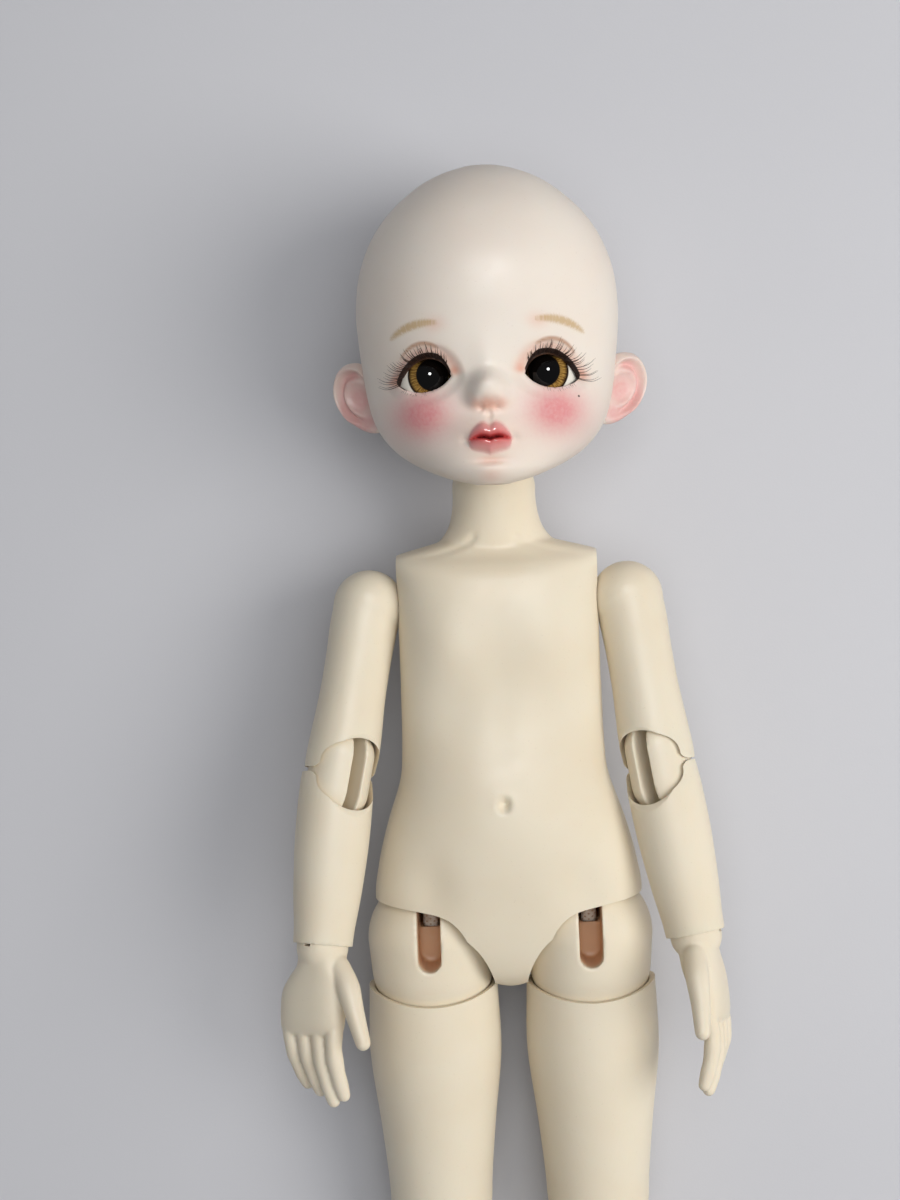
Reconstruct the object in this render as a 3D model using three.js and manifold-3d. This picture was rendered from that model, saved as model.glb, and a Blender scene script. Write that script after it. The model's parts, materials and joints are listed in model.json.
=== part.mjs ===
import * as THREE from 'three';
import { mergeVertices } from 'three/addons/utils/BufferGeometryUtils.js';
import Module from 'manifold-3d';

const wasm = await Module();
wasm.setup();

// Lengths are in millimetres. X points to the doll's left, Y to its head, Z out of its front.
// The doll lies on its back, with its head, seat and heels on the ground.

// Clearances and walls
const jointGap = 0.3;
const cupGap = 0.4;
const looseGap = 0.5;
const hookGap = 0.3;
const cutOverrun = 2;
const resinWall = 2.6;
const weldDistance = 0.0001;
const facetTolerance = 0.04;

// Elastic cord and steel hooks
const legCordRadius = 1.5;
const armCordRadius = 1;
const neckCordRadius = 0.9;
const legBoreRadius = 2.1;
const armBoreRadius = 1.6;
const hookWireRadius = 0.45;
const hookBendRadius = 1.35;
const hookBarRadius = 0.6;

// Torso
const hipSpacing = 31.4;
const torsoHalfWidth = 26.3;
const torsoDepth = 15;
const torsoRise = 75.5;
const neckShow = 13;
const neckRadius = 8.2;
const neckSet = -1;
const neckBoreRadius = 4.2;
const neckLoopDrop = 4;
const neckCordSpread = 2;
const crotchDrop = 9.4;
const armholeSpan = 39.2;
const armholeLow = 50;
const shoulderRise = 66.4;
const shoulderSpacing = 50.8;
const shoulderRadius = 7.1;
const legOpeningRise = 8.7;
const waistCavityRise = 15.6;
const chestCavityRise = 72;
const navelRise = 28.6;
const navelRadius = 1;
const cordSet = -2;

// Hip piece and thigh
const hipRadius = 12.6;
const thighBallDrop = 5.6;
const thighBallRadius = 12.1;
const hipSlotWidth = 4.5;
const hipSlotDrop = 4.6;
const hipSlotFloor = 2;
const hipSlotShoulder = 2.4;
const hipSlotBack = 9;
const hipPivotAhead = 4;
const kneeDrop = 62;
const thighHalfWidth = 13.1;
const thighHalfDepth = 12.4;
const thighRimDrop = 11.5;
const thighRimRadius = 36;

// Knee, shin and foot
const kneeSpacing = 9;
const kneeRadius = 8.2;
const kneeSlotWidth = 3.8;
const shinDrop = 47;
const shinHalfWidth = 9.4;
const shinHalfDepth = 9.2;
const ankleRadius = 5.4;
const ankleShow = 1.6;
const soleDrop = 15;
const footLength = 35;
const heelReach = 9;
const footHalfWidth = 7.2;
const footRise = 13;
const toeRadius = 1.9;

// Arm and hand
const upperArmLength = 30;
const upperArmHalfWidth = 6.9;
const elbowSpacing = 7;
const elbowRadius = 6.2;
const elbowSlotWidth = 2.8;
const forearmLength = 30;
const forearmHalfWidth = 7.2;
const wristRadius = 5;
const palmLength = 15.2;
const palmHalfWidth = 7.1;
const palmHalfDepth = 3.3;
const fingerLength = 14.6;
const fingerRadius = 1.65;
const thumbLength = 16;
const thumbRadius = 1.9;

// Head
const headHeight = 62.5;
const headHalfWidth = 25.3;
const faceDepth = 25;
const skullDepth = 28;
const headAhead = 6.4;
const chinDrop = 0.4;
const headFloorRise = 11;
const headSlotWidth = 4.4;
const headSlotLength = 10.4;
const capTopAhead = 4;
const magnetRadius = 1.8;
const magnetDepth = 1.8;
const magnetGap = 0.2;
const magnetRise = 36;
const magnetSpacing = 40;
const bossRadius = 3.2;
const bossReach = 4.5;

// Eyes, lashes and ears
const eyeSpacing = 23.2;
const eyeRise = 19.8;
const eyeRadius = 6.2;
const eyeSet = 13.3;
const eyeBackSet = 2;
const corneaRadius = 4.4;
const corneaRise = 0.5;
const eyeOpeningWidth = 10;
const upperLidRise = 3.7;
const lowerLidDrop = 3;
const lashRadius = 0.3;
const lashSet = 0.75;
const puttyInnerRadius = 3.1;
const puttyOuterRadius = 5.3;
const puttyDepth = 2;
const earHalfHeight = 7.2;
const earHalfWidth = 5.2;
const earHalfDepth = 2.1;
const earSpacing = 51;
const earRise = 18.2;
const earSet = -2.5;
const earHollowDepth = 1.5;
const headPower = 2.15;

// Angles of the resting doll, in degrees
const torsoPitch = 4;
const legPitch = 3.9;
const earTurn = 38;
const reliefAngles = [30, 60];
const cupSlope = 35;
const crownLean = 19.8;
const hipArcStart = 6;
const palmTilt = 4;

// What differs between the doll's two arms as it lies there
const armRest = {
  left: { side: 1, pitch: -10, spread: 8.6, forearmSpread: 1, bendTurn: 36, handRoll: 72 },
  right: { side: -1, pitch: -13, spread: 11.4, forearmSpread: -5, bendTurn: 40, handRoll: 32 },
};

// How finely round forms are faceted
const torsoSides = 20;
const headSides = 24;
const frontCrowding = 0.45;
const limbSides = 14;
const ballSides = 16;
const ballRings = 8;
const smallSides = 8;
const hipArcSteps = 6;
const footSides = 12;
const cordSides = 6;
const smallBall = { sides: 10, rings: 6 };
const boxPower = 2.6;
const roundPower = 2;

// Section rows: height, half width, front depth, back depth, sideways shift, forward shift.
// Each is a share of the size that it follows.
const torsoShares = [
  [-0.125, 0.07, 0.3, 0.36, 0, 0],
  [-0.11, 0.19, 0.5, 0.6, 0, 0],
  [-0.07, 0.55, 0.72, 0.86, 0, 0],
  [0.0, 0.88, 0.87, 1.0, 0, 0],
  [0.1, 1.0, 0.97, 1.06, 0, 0],
  [0.2, 0.972, 1.04, 0.98, 0, 0],
  [0.31, 0.89, 1.05, 0.84, 0, 0],
  [0.42, 0.785, 0.99, 0.76, 0, 0],
  [0.5, 0.765, 0.93, 0.75, 0, 0],
  [0.63, 0.775, 0.86, 0.8, 0, 0],
  [0.77, 0.775, 0.85, 0.85, 0, 0],
  [0.88, 0.77, 0.81, 0.84, 0, 0],
  [0.945, 0.77, 0.72, 0.8, 0, 0],
  [0.985, 0.75, 0.6, 0.72, 0, 0],
  [1.01, 0.66, 0.5, 0.63, 0, -0.03],
  [1.035, 0.47, 0.44, 0.54, 0, -0.05],
  [1.05, 0.3, 0.36, 0.44, 0, -0.06],
];
const neckShares = [
  [-0.348, 1.9, 0.9, 1.05, 0, 0],
  [-0.058, 1.66, 0.9, 1.05, 0, 0],
  [0.203, 1.38, 0.92, 1.03, 0, 0],
  [0.436, 1.13, 0.95, 1.01, 0, 0],
  [0.697, 1.02, 0.98, 1.0, 0, 0],
  [0.987, 0.99, 0.99, 0.99, 0, 0],
];
const cavityShares = [
  [0.0, 0.8, 0.72, 0.7, 0, 0],
  [0.12, 0.98, 0.97, 0.9, 0, 0],
  [0.3, 0.84, 0.93, 0.7, 0, 0],
  [0.5, 0.74, 0.8, 0.65, 0, 0],
  [0.8, 0.74, 0.7, 0.72, 0, 0],
  [0.94, 0.66, 0.55, 0.64, 0, 0],
  [1.0, 0.46, 0.34, 0.42, 0, 0],
];
const legOpeningShares = [
  [1.5, 1.0],
  [1.0, 1.0],
  [0.67, 0.87],
  [0.47, 0.72],
  [0.355, 0.42],
  [0.275, -0.07],
  [0.19, -0.76],
  [0.14, -1.0],
  [0.1, -2.6],
  [1.5, -2.6],
];
const thighShares = [
  [0.08, 0.96, 0.93, 0.95, 0, 0],
  [0.2, 0.985, 0.97, 0.99, 0, 0],
  [0.38, 1.0, 1.0, 1.02, 0, 0],
  [0.6, 0.88, 0.91, 0.95, 0, 0],
  [0.8, 0.79, 0.82, 0.83, 0, 0],
  [0.92, 0.775, 0.8, 0.79, 0, 0],
  [1.03, 0.74, 0.76, 0.74, 0, 0],
];
const shinShares = [
  [-0.1, 0.9, 0.86, 0.88, 0, 0],
  [0.04, 0.97, 0.93, 0.98, 0, 0],
  [0.22, 1.02, 0.93, 1.12, 0, 0],
  [0.42, 0.95, 0.85, 1.04, 0, 0],
  [0.65, 0.75, 0.7, 0.78, 0, 0],
  [0.85, 0.63, 0.62, 0.64, 0, 0],
  [1.0, 0.62, 0.62, 0.64, 0, 0],
  [1.06, 0.6, 0.6, 0.62, 0, 0],
];
const footShares = [
  [-0.02, 0.42, 0.34, 0.5, 0, 0.42],
  [0.02, 0.66, 0.5, 0.62, 0, 0.42],
  [0.1, 0.8, 0.66, 0.7, 0, 0.42],
  [0.22, 0.83, 0.72, 0.7, 0, 0.42],
  [0.36, 0.82, 0.52, 0.62, 0, 0.42],
  [0.52, 0.86, 0.32, 0.62, 0, 0.4],
  [0.7, 0.98, 0.16, 0.62, 0.02, 0.38],
  [0.84, 1.0, 0.1, 0.62, 0.05, 0.32],
  [0.93, 0.92, 0.05, 0.56, 0.08, 0.28],
];
const upperArmShares = [
  [-0.02, 0.95, 0.98, 0.98, 0, 0],
  [0.15, 0.93, 0.98, 1.0, 0.02, 0],
  [0.35, 0.92, 0.96, 0.97, 0.03, 0],
  [0.6, 0.94, 0.96, 0.96, 0.02, 0],
  [0.85, 1.0, 1.0, 1.0, 0, 0],
  [1.05, 1.03, 1.02, 1.02, 0, 0],
  [1.18, 0.96, 0.97, 0.97, 0, 0],
];
const forearmShares = [
  [-0.2, 0.93, 0.93, 0.93, 0, 0],
  [-0.05, 0.99, 0.98, 0.98, 0, 0],
  [0.1, 1.01, 1.0, 1.0, 0, 0],
  [0.35, 1.0, 0.98, 0.98, 0, 0],
  [0.65, 0.92, 0.89, 0.89, 0, 0],
  [0.88, 0.82, 0.79, 0.79, 0, 0],
  [0.985, 0.8, 0.77, 0.77, 0, 0],
];
const palmShares = [
  [-0.02, 0.68, 1.15, 1.15, 0, 0],
  [0.22, 0.68, 1.12, 1.12, 0, 0],
  [0.38, 0.88, 1.1, 1.1, -0.08, 0],
  [0.56, 1.0, 1.05, 1.0, -0.2, 0],
  [0.8, 1.02, 0.95, 0.9, -0.24, 0],
  [1.0, 1.0, 0.8, 0.76, -0.24, 0],
  [1.1, 0.92, 0.55, 0.55, -0.24, 0],
];
const headShares = [
  [0.0, 0.12, 0.1, 0.08, 0, 0.66],
  [0.018, 0.28, 0.23, 0.23, 0, 0.6],
  [0.042, 0.42, 0.42, 0.4, 0, 0.46],
  [0.075, 0.565, 0.65, 0.8, 0, 0.24],
  [0.105, 0.675, 0.785, 0.78, 0, 0.1],
  [0.13, 0.745, 0.85, 0.77, 0, 0.03],
  [0.155, 0.8, 0.885, 0.8, 0, 0],
  [0.185, 0.85, 0.895, 0.83, 0, 0],
  [0.225, 0.895, 0.905, 0.865, 0, 0],
  [0.27, 0.925, 0.915, 0.9, 0, 0],
  [0.31, 0.943, 0.925, 0.925, 0, 0],
  [0.35, 0.958, 0.94, 0.95, 0, 0],
  [0.4, 0.972, 0.96, 0.97, 0, 0],
  [0.46, 0.988, 0.98, 0.985, 0, 0],
  [0.55, 1.0, 1.0, 1.0, 0, 0],
  [0.66, 0.972, 0.985, 0.99, 0, 0],
  [0.76, 0.885, 0.915, 0.92, 0, 0],
  [0.84, 0.755, 0.805, 0.81, 0, 0],
  [0.91, 0.575, 0.63, 0.63, 0, 0],
  [0.955, 0.405, 0.445, 0.45, 0, 0],
  [0.988, 0.2, 0.22, 0.225, 0, 0],
  [1.0, 0.05, 0.05, 0.05, 0, 0],
];

// Swellings and hollows of the face: across and up (shares of its half width and height),
// reach across and up, and how far each stands out (share of its depth).
const faceFormShares = [
  [0, 0.268, 0.115, 0.05, 0.16],
  [0, 0.36, 0.11, 0.08, 0.07],
  [0.1, 0.24, 0.06, 0.028, 0.035],
  [0.46, 0.345, 0.24, 0.075, -0.03],
  [0.54, 0.2, 0.26, 0.085, 0.05],
  [0, 0.155, 0.26, 0.05, 0.09],
  [0, 0.162, 0.16, 0.02, 0.035],
  [0, 0.108, 0.14, 0.02, 0.04],
  [0, 0.04, 0.22, 0.035, 0.04],
  [0, 0.62, 0.6, 0.12, 0.02],
];

const navelSetShare = 1.06;
const cupLipShare = 0.18;
const kneeCupRiseShare = 0.52;
const elbowCupRiseShare = 0.42;
const kneecapShare = 0.4;
const kneecapSetShare = 0.74;
const slotFloorShare = 0.2;
const hookDropShare = 0.2;
const hookFootShare = 0.9;
const hookRiseShares = [1.2, 2];
const fingerRootShare = 0.94;
const lidPullShare = 0.62;
const lashSpanShare = 0.8;
const earHollowShare = 0.72;
const ankleShares = [
  [0, 0.95, 0.95, 0.95, 0, 0],
  [0.35, 0.9, 0.9, 0.95, 0, 0],
  [0.7, 0.95, 1.0, 1.05, 0, 0],
];

// Where each finger springs from the palm, its length, and how far its tip drifts sideways
const fingerShares = [
  { across: 0.5, length: 0.92, drift: 0.04 },
  { across: 0.0, length: 1.0, drift: 0.12 },
  { across: -0.5, length: 0.87, drift: 0.14 },
  { across: -0.98, length: 0.78, drift: 0.16 },
];
const fingerBoneShares = [0, 0.36, 0.68, 1];
const fingerThicknessShares = [1.06, 1.04, 0.95, 0.72];
const fingerCurlShares = [0, 0.02, -0.06, -0.2];
const thumbShares = [
  { across: 0.55, along: 0.22, forward: 0, thick: 1.15 },
  { across: 0.93, along: 0.46, forward: 0.1, thick: 1.2 },
  { across: 1.22, along: 0.76, forward: 0.15, thick: 1.0 },
  { across: 1.58, along: 1.12, forward: 0.1, thick: 0.82 },
];
const toeShares = [
  { across: 0.58, ahead: 0.955, thick: 1.25 },
  { across: 0.2, ahead: 0.965, thick: 0.95 },
  { across: -0.13, ahead: 0.95, thick: 0.9 },
  { across: -0.43, ahead: 0.925, thick: 0.85 },
  { across: -0.7, ahead: 0.89, thick: 0.8 },
];

// Finishes
const finishes = {
  bodyResin: { color: 0xe6dcc3, roughness: 0.5, metalness: 0 },
  headResin: { color: 0xeae0d2, roughness: 0.5, metalness: 0 },
  elastic: { color: 0xf2f0ea, roughness: 0.9, metalness: 0 },
  steel: { color: 0xb8bcc0, roughness: 0.3, metalness: 1 },
  magnet: { color: 0x8d9196, roughness: 0.25, metalness: 1 },
  eye: { color: 0x8a5a1c, roughness: 0.05, metalness: 0 },
  putty: { color: 0xdfe3e6, roughness: 0.9, metalness: 0 },
  lash: { color: 0x4a3020, roughness: 0.8, metalness: 0 },
};

const radians = THREE.MathUtils.degToRad;

// Smooths rows of shares into closer rows along a curve through them.
function smoothRows(rows, spanSteps) {
  const smooth = [];
  const at = (index, column) => rows[Math.min(Math.max(index, 0), rows.length - 1)][column];
  for (let span = 0; span < rows.length - 1; span += 1) {
    for (let step = 0; step < spanSteps; step += 1) {
      const t = step / spanSteps;
      smooth.push(rows[span].map((_, column) => {
        const [a, b, c, d] = [-1, 0, 1, 2].map((offset) => at(span + offset, column));
        const bend = (2 * a - 5 * b + 4 * c - d) * t * t + (3 * b - a - 3 * c + d) * t * t * t;
        return b + ((c - a) * t + bend) / 2;
      }));
    }
  }
  smooth.push(rows[rows.length - 1].slice());
  return smooth;
}

// Makes closed triangles from rings of equal length, with a fan over each end.
function skinRings(rings) {
  const count = rings[0].length;
  const positions = rings.flat().flatMap((point) => [point.x, point.y, point.z]);
  const index = [];
  for (let ring = 0; ring < rings.length - 1; ring += 1) {
    for (let side = 0; side < count; side += 1) {
      const next = (side + 1) % count;
      const a = ring * count + side;
      const b = ring * count + next;
      index.push(a, b, a + count, b, b + count, a + count);
    }
  }
  [[0, 1], [rings.length - 1, 0]].forEach(([ring, flipped]) => {
    const middle = new THREE.Vector3();
    rings[ring].forEach((point) => middle.addScaledVector(point, 1 / count));
    const hub = positions.length / 3;
    positions.push(middle.x, middle.y, middle.z);
    for (let side = 0; side < count; side += 1) {
      const edge = [ring * count + side, ring * count + ((side + 1) % count)];
      index.push(...(flipped ? [edge[1], edge[0], hub] : [edge[0], edge[1], hub]));
    }
  });
  const geometry = new THREE.BufferGeometry();
  geometry.setAttribute('position', new THREE.Float32BufferAttribute(positions, 3));
  geometry.setIndex(index);
  return geometry;
}

// Lofts rounded sections stacked along Y. size gives the run, half width, front and back depth.
// crowding draws the corners of each section together towards the front.
function loft(rows, size, { sides = limbSides, spanSteps = 1, power = roundPower, crowding = 0 } = {}) {
  const round = (value) => Math.sign(value) * Math.abs(value) ** (2 / power);
  const rings = smoothRows(rows, spanSteps).map(([along, wide, front, back, side, forward]) => {
    const ring = [];
    for (let i = 0; i < sides; i += 1) {
      const turn = (i / sides) * 2 * Math.PI;
      const angle = Math.PI / 2 + turn - crowding * Math.sin(turn);
      const depth = Math.sin(angle) > 0 ? front * size.front : back * size.back;
      ring.push(new THREE.Vector3(
        side * size.width + wide * size.width * round(Math.cos(angle)),
        along * size.run,
        forward * size.front + depth * round(Math.sin(angle)),
      ));
    }
    return ring;
  });
  return skinRings(rings);
}

// Sweeps a round section of changing radius along a curve, with rounded ends.
function sweep(points, radii, { sides = cordSides, steps = 12 } = {}) {
  const curve = new THREE.CatmullRomCurve3(points);
  const frames = curve.computeFrenetFrames(steps);
  const radiusAt = (t) => {
    const place = t * (radii.length - 1);
    const low = Math.min(Math.floor(place), radii.length - 2);
    return THREE.MathUtils.lerp(radii[low], radii[low + 1], place - low);
  };
  const ringAt = (centre, radius, i) => {
    const ring = [];
    for (let side = 0; side < sides; side += 1) {
      const angle = (side / sides) * 2 * Math.PI;
      ring.push(centre.clone()
        .addScaledVector(frames.normals[i], Math.cos(angle) * radius)
        .addScaledVector(frames.binormals[i], Math.sin(angle) * radius));
    }
    return ring;
  };
  const rings = [];
  const capAngles = [55];
  const addCap = (i, direction, angles) => {
    const t = i / steps;
    angles.forEach((degrees) => {
      const angle = radians(degrees);
      const centre = curve.getPointAt(t)
        .addScaledVector(frames.tangents[i], direction * Math.sin(angle) * radiusAt(t));
      rings.push(ringAt(centre, Math.cos(angle) * radiusAt(t), i));
    });
  };
  addCap(0, -1, capAngles);
  for (let i = 0; i <= steps; i += 1) {
    rings.push(ringAt(curve.getPointAt(i / steps), radiusAt(i / steps), i));
  }
  addCap(steps, 1, [...capAngles].reverse());
  return skinRings(rings);
}

// Turns a closed geometry into a solid that can be joined and cut.
function solid(geometry) {
  const bare = geometry.clone();
  bare.deleteAttribute('normal');
  bare.deleteAttribute('uv');
  const merged = mergeVertices(bare, weldDistance);
  const places = merged.attributes.position.array;
  const corners = merged.index.array;
  const triangles = [];
  let volume = 0;
  const corner = (i) => new THREE.Vector3().fromArray(places, i * 3);
  for (let i = 0; i < corners.length; i += 3) {
    const [a, b, c] = [corners[i], corners[i + 1], corners[i + 2]];
    if (a !== b && b !== c && c !== a) {
      triangles.push(a, b, c);
      volume += corner(a).dot(corner(b).cross(corner(c)));
    }
  }
  if (volume < 0) {
    triangles.reverse();
  }
  return new wasm.Manifold(new wasm.Mesh({
    numProp: 3,
    vertProperties: places,
    triVerts: Uint32Array.from(triangles),
  }));
}

function mirrorIf(geometry, side) {
  return side < 0 ? geometry.clone().scale(-1, 1, 1) : geometry;
}

function ball(radius, x, y, z, { sides = ballSides, rings = ballRings } = {}) {
  return solid(new THREE.SphereGeometry(radius, sides, rings).translate(x, y, z));
}

function box(width, height, depth, x, y, z) {
  return solid(new THREE.BoxGeometry(width, height, depth).translate(x, y, z));
}

// A round rod along one axis, from one place on it to another.
function rod(radius, axis, from, to, x, y, z, sides = smallSides) {
  const geometry = new THREE.CylinderGeometry(radius, radius, to - from, sides);
  geometry.translate(0, (from + to) / 2, 0);
  if (axis === 'x') {
    geometry.rotateZ(-Math.PI / 2);
  }
  if (axis === 'z') {
    geometry.rotateX(Math.PI / 2);
  }
  return solid(geometry.translate(x, y, z));
}

function addPiece(parent, name, body, finish) {
  const mesh = body.simplify(facetTolerance).getMesh();
  const geometry = new THREE.BufferGeometry();
  geometry.setAttribute('position', new THREE.BufferAttribute(new Float32Array(mesh.vertProperties), 3));
  geometry.setIndex(new THREE.BufferAttribute(new Uint32Array(mesh.triVerts), 1));
  geometry.computeVertexNormals();
  const piece = new THREE.Mesh(geometry, new THREE.MeshStandardMaterial(finishes[finish]));
  piece.name = name;
  parent.add(piece);
  return piece;
}

function addGroup(parent, x, y, z) {
  const group = new THREE.Group();
  group.position.set(x, y, z);
  parent.add(group);
  return group;
}

const neckRise = torsoRise + neckShow;
const hipX = hipSpacing / 2;
const shoulderX = shoulderSpacing / 2;
const armholeX = armholeSpan / 2;

// The capsule-shaped hip piece, grown by a clearance to cut what it turns in
function hipForm(growth) {
  const profile = [];
  const arc = (radius, centre, from, to, steps) => {
    for (let i = 0; i <= steps; i += 1) {
      const angle = radians(from + ((to - from) * i) / steps);
      profile.push(new THREE.Vector2(Math.cos(angle) * radius, centre + Math.sin(angle) * radius));
    }
  };
  arc(thighBallRadius + growth, -thighBallDrop, -90, -hipArcStart, hipArcSteps);
  arc(hipRadius + growth, 0, 0, 90, hipArcSteps);
  profile[0].x = 0;
  profile[profile.length - 1].x = 0;
  return new THREE.LatheGeometry(profile, ballSides);
}

// The stadium-shaped slot that runs down the front of the hip piece and over its top
function hipSlot() {
  const half = hipSlotWidth / 2;
  const reach = hipRadius + cutOverrun;
  const foot = hipSlotDrop - half;
  const front = box(hipSlotWidth, reach + foot, reach - hipSlotFloor,
    0, (reach - foot) / 2, (reach + hipSlotFloor) / 2);
  const end = rod(half, 'z', hipSlotFloor, reach, 0, -foot, 0);
  const top = box(hipSlotWidth, reach - hipSlotShoulder, reach + hipSlotBack,
    0, (reach + hipSlotShoulder) / 2, (reach - hipSlotBack) / 2);
  return front.add(end).add(top);
}

function buildTorso(parent) {
  const size = { run: torsoRise, width: torsoHalfWidth, front: torsoDepth, back: torsoDepth };
  const trunk = solid(loft(torsoShares, size, { sides: torsoSides, power: boxPower }));
  const neckSize = { run: neckShow, width: neckRadius, front: neckRadius, back: neckRadius };
  const neck = solid(loft(neckShares, neckSize).translate(0, torsoRise, neckSet));
  let body = trunk.add(neck).add(ball(neckRadius, 0, neckRise, neckSet));
  const cavityRun = chestCavityRise - waistCavityRise;
  const cavity = { run: cavityRun, width: torsoHalfWidth - resinWall,
    front: torsoDepth - resinWall, back: torsoDepth - resinWall };
  const hollow = loft(cavityShares, cavity, { power: boxPower });
  body = body.subtract(solid(hollow.translate(0, waistCavityRise, 0)));
  body = body.subtract(rod(neckBoreRadius, 'y', chestCavityRise - cutOverrun,
    neckRise + neckRadius + cutOverrun, 0, 0, neckSet));
  body = body.subtract(rod(armBoreRadius + looseGap, 'x', -shoulderX, shoulderX,
    0, shoulderRise, 0));
  body = body.subtract(ball(navelRadius, 0, navelRise, torsoDepth * navelSetShare,
    smallBall));
  [1, -1].forEach((side) => {
    const flank = torsoHalfWidth;
    const tall = neckRise - armholeLow;
    body = body.subtract(box(flank, tall, flank * 2,
      side * (armholeX + flank / 2), armholeLow + tall / 2, 0));
    body = body.subtract(ball(shoulderRadius + jointGap, side * shoulderX, shoulderRise, 0));
    const outline = legOpeningShares.map(([across, rise]) => new THREE.Vector2(
      across * torsoHalfWidth,
      rise > 0 ? rise * legOpeningRise : -rise * -crotchDrop,
    ));
    const opening = new THREE.ExtrudeGeometry(new THREE.Shape(outline),
      { depth: torsoDepth * 4, bevelEnabled: false }).translate(0, 0, -torsoDepth * 2);
    body = body.subtract(solid(mirrorIf(opening, side)));
    body = body.subtract(solid(hipForm(looseGap).translate(side * hipX, 0, 0)));
    const well = rod(hipRadius + looseGap, 'y', -hipRadius * 2, 0, side * hipX, 0, 0, ballSides);
    body = body.subtract(well);
    body = body.subtract(rod(legBoreRadius + looseGap, 'y', 0,
      waistCavityRise + cutOverrun, side * hipX, 0, 0));
    reliefAngles.forEach((angle) => {
      body = body.subtract(solid(swungHip(angle, looseGap).translate(side * hipX, 0, 0)));
    });
  });
  return addPiece(parent, 'torso', body, 'bodyResin');
}

// The hip piece swung forward about its pivot ahead of the ball
function swungHip(angle, growth) {
  return hipForm(growth)
    .translate(0, 0, -hipPivotAhead)
    .rotateX(-radians(angle))
    .translate(0, 0, hipPivotAhead);
}

// The two leg cords and the arm cord inside the torso
function buildTorsoCords(parent) {
  const low = hipRadius + legCordRadius + jointGap * 3;
  const high = neckRise - neckLoopDrop - neckCordRadius * 2;
  [['left', 1], ['right', -1]].forEach(([name, side]) => {
    const points = [
      new THREE.Vector3(side * hipX, low, 0),
      new THREE.Vector3(side * hipX, waistCavityRise + cutOverrun, 0),
      new THREE.Vector3(side * (hipX + neckCordSpread) / 2, (low + high) / 2, cordSet),
      new THREE.Vector3(side * neckCordSpread, chestCavityRise - cutOverrun, cordSet),
      new THREE.Vector3(side * neckCordSpread, high, neckSet),
    ];
    const thick = [legCordRadius, legCordRadius, neckCordRadius, neckCordRadius];
    const cord = sweep(points, thick, { steps: 10 });
    addPiece(parent, `leg_cord_${name}`, solid(cord), 'elastic');
  });
  const reach = shoulderX - shoulderRadius;
  const armCord = rod(armCordRadius, 'x', -reach, reach, 0, shoulderRise, 0, cordSides);
  addPiece(parent, 'arm_cord', armCord, 'elastic');
}


// A wire hook: it grips a bar at its foot and runs up into a bore
function hookWire(shank) {
  const bend = hookBendRadius;
  const [turnRise, neckUp] = hookRiseShares;
  const points = [
    [-hookDropShare, 1],
    [-hookFootShare, 0.5],
    [-hookFootShare, -0.5],
    [0, -1],
    [turnRise, -0.5],
    [neckUp, 0],
  ].map(([up, ahead]) => new THREE.Vector3(0, bend * up, bend * ahead));
  points.push(new THREE.Vector3(0, shank, 0));
  return sweep(points, [hookWireRadius, hookWireRadius], { steps: 12 });
}

// The seat inside a ball that holds the hook's bar and lets its shank swing
function hookSeat(radius) {
  const half = hookWireRadius + hookGap;
  const reach = radius + cutOverrun;
  const roomRadius = hookBendRadius + hookWireRadius + hookGap;
  const room = rod(roomRadius, 'x', -half, half, 0, 0, 0);
  const slot = box(half * 2, reach, reach * 2, 0, reach / 2, 0);
  const bar = rod(hookBarRadius, 'x', -reach, reach, 0, 0, 0, cordSides);
  return room.add(slot).subtract(bar);
}

// All that lies past the slanted rim of a cup. It is cut back on the side that the joint bends to.
// upward says which way the removed part lies; bendTurn turns the bend side about the limb.
function pastRim(radius, pivotY, upward, bendTurn, riseShare = elbowCupRiseShare) {
  const reach = radius * 8;
  const slab = new THREE.BoxGeometry(reach, reach, reach).translate(0, -reach / 2, 0);
  slab.rotateX(-radians(cupSlope)).translate(0, radius * riseShare, 0);
  if (upward) {
    slab.rotateZ(Math.PI);
  }
  return solid(slab.rotateY(bendTurn).translate(0, pivotY, 0));
}

// The double-ended joint piece of an elbow or a knee, slotted on the side that it bends to
function doubleJoint(radius, spacing, slotWidth) {
  const half = spacing / 2;
  const reach = radius + cutOverrun;
  const floor = radius * slotFloorShare;
  const body = solid(new THREE.CapsuleGeometry(radius, spacing, 5, ballSides));
  return body.subtract(box(slotWidth, (reach + half) * 2, reach + floor,
    0, 0, (reach - floor) / 2));
}

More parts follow.
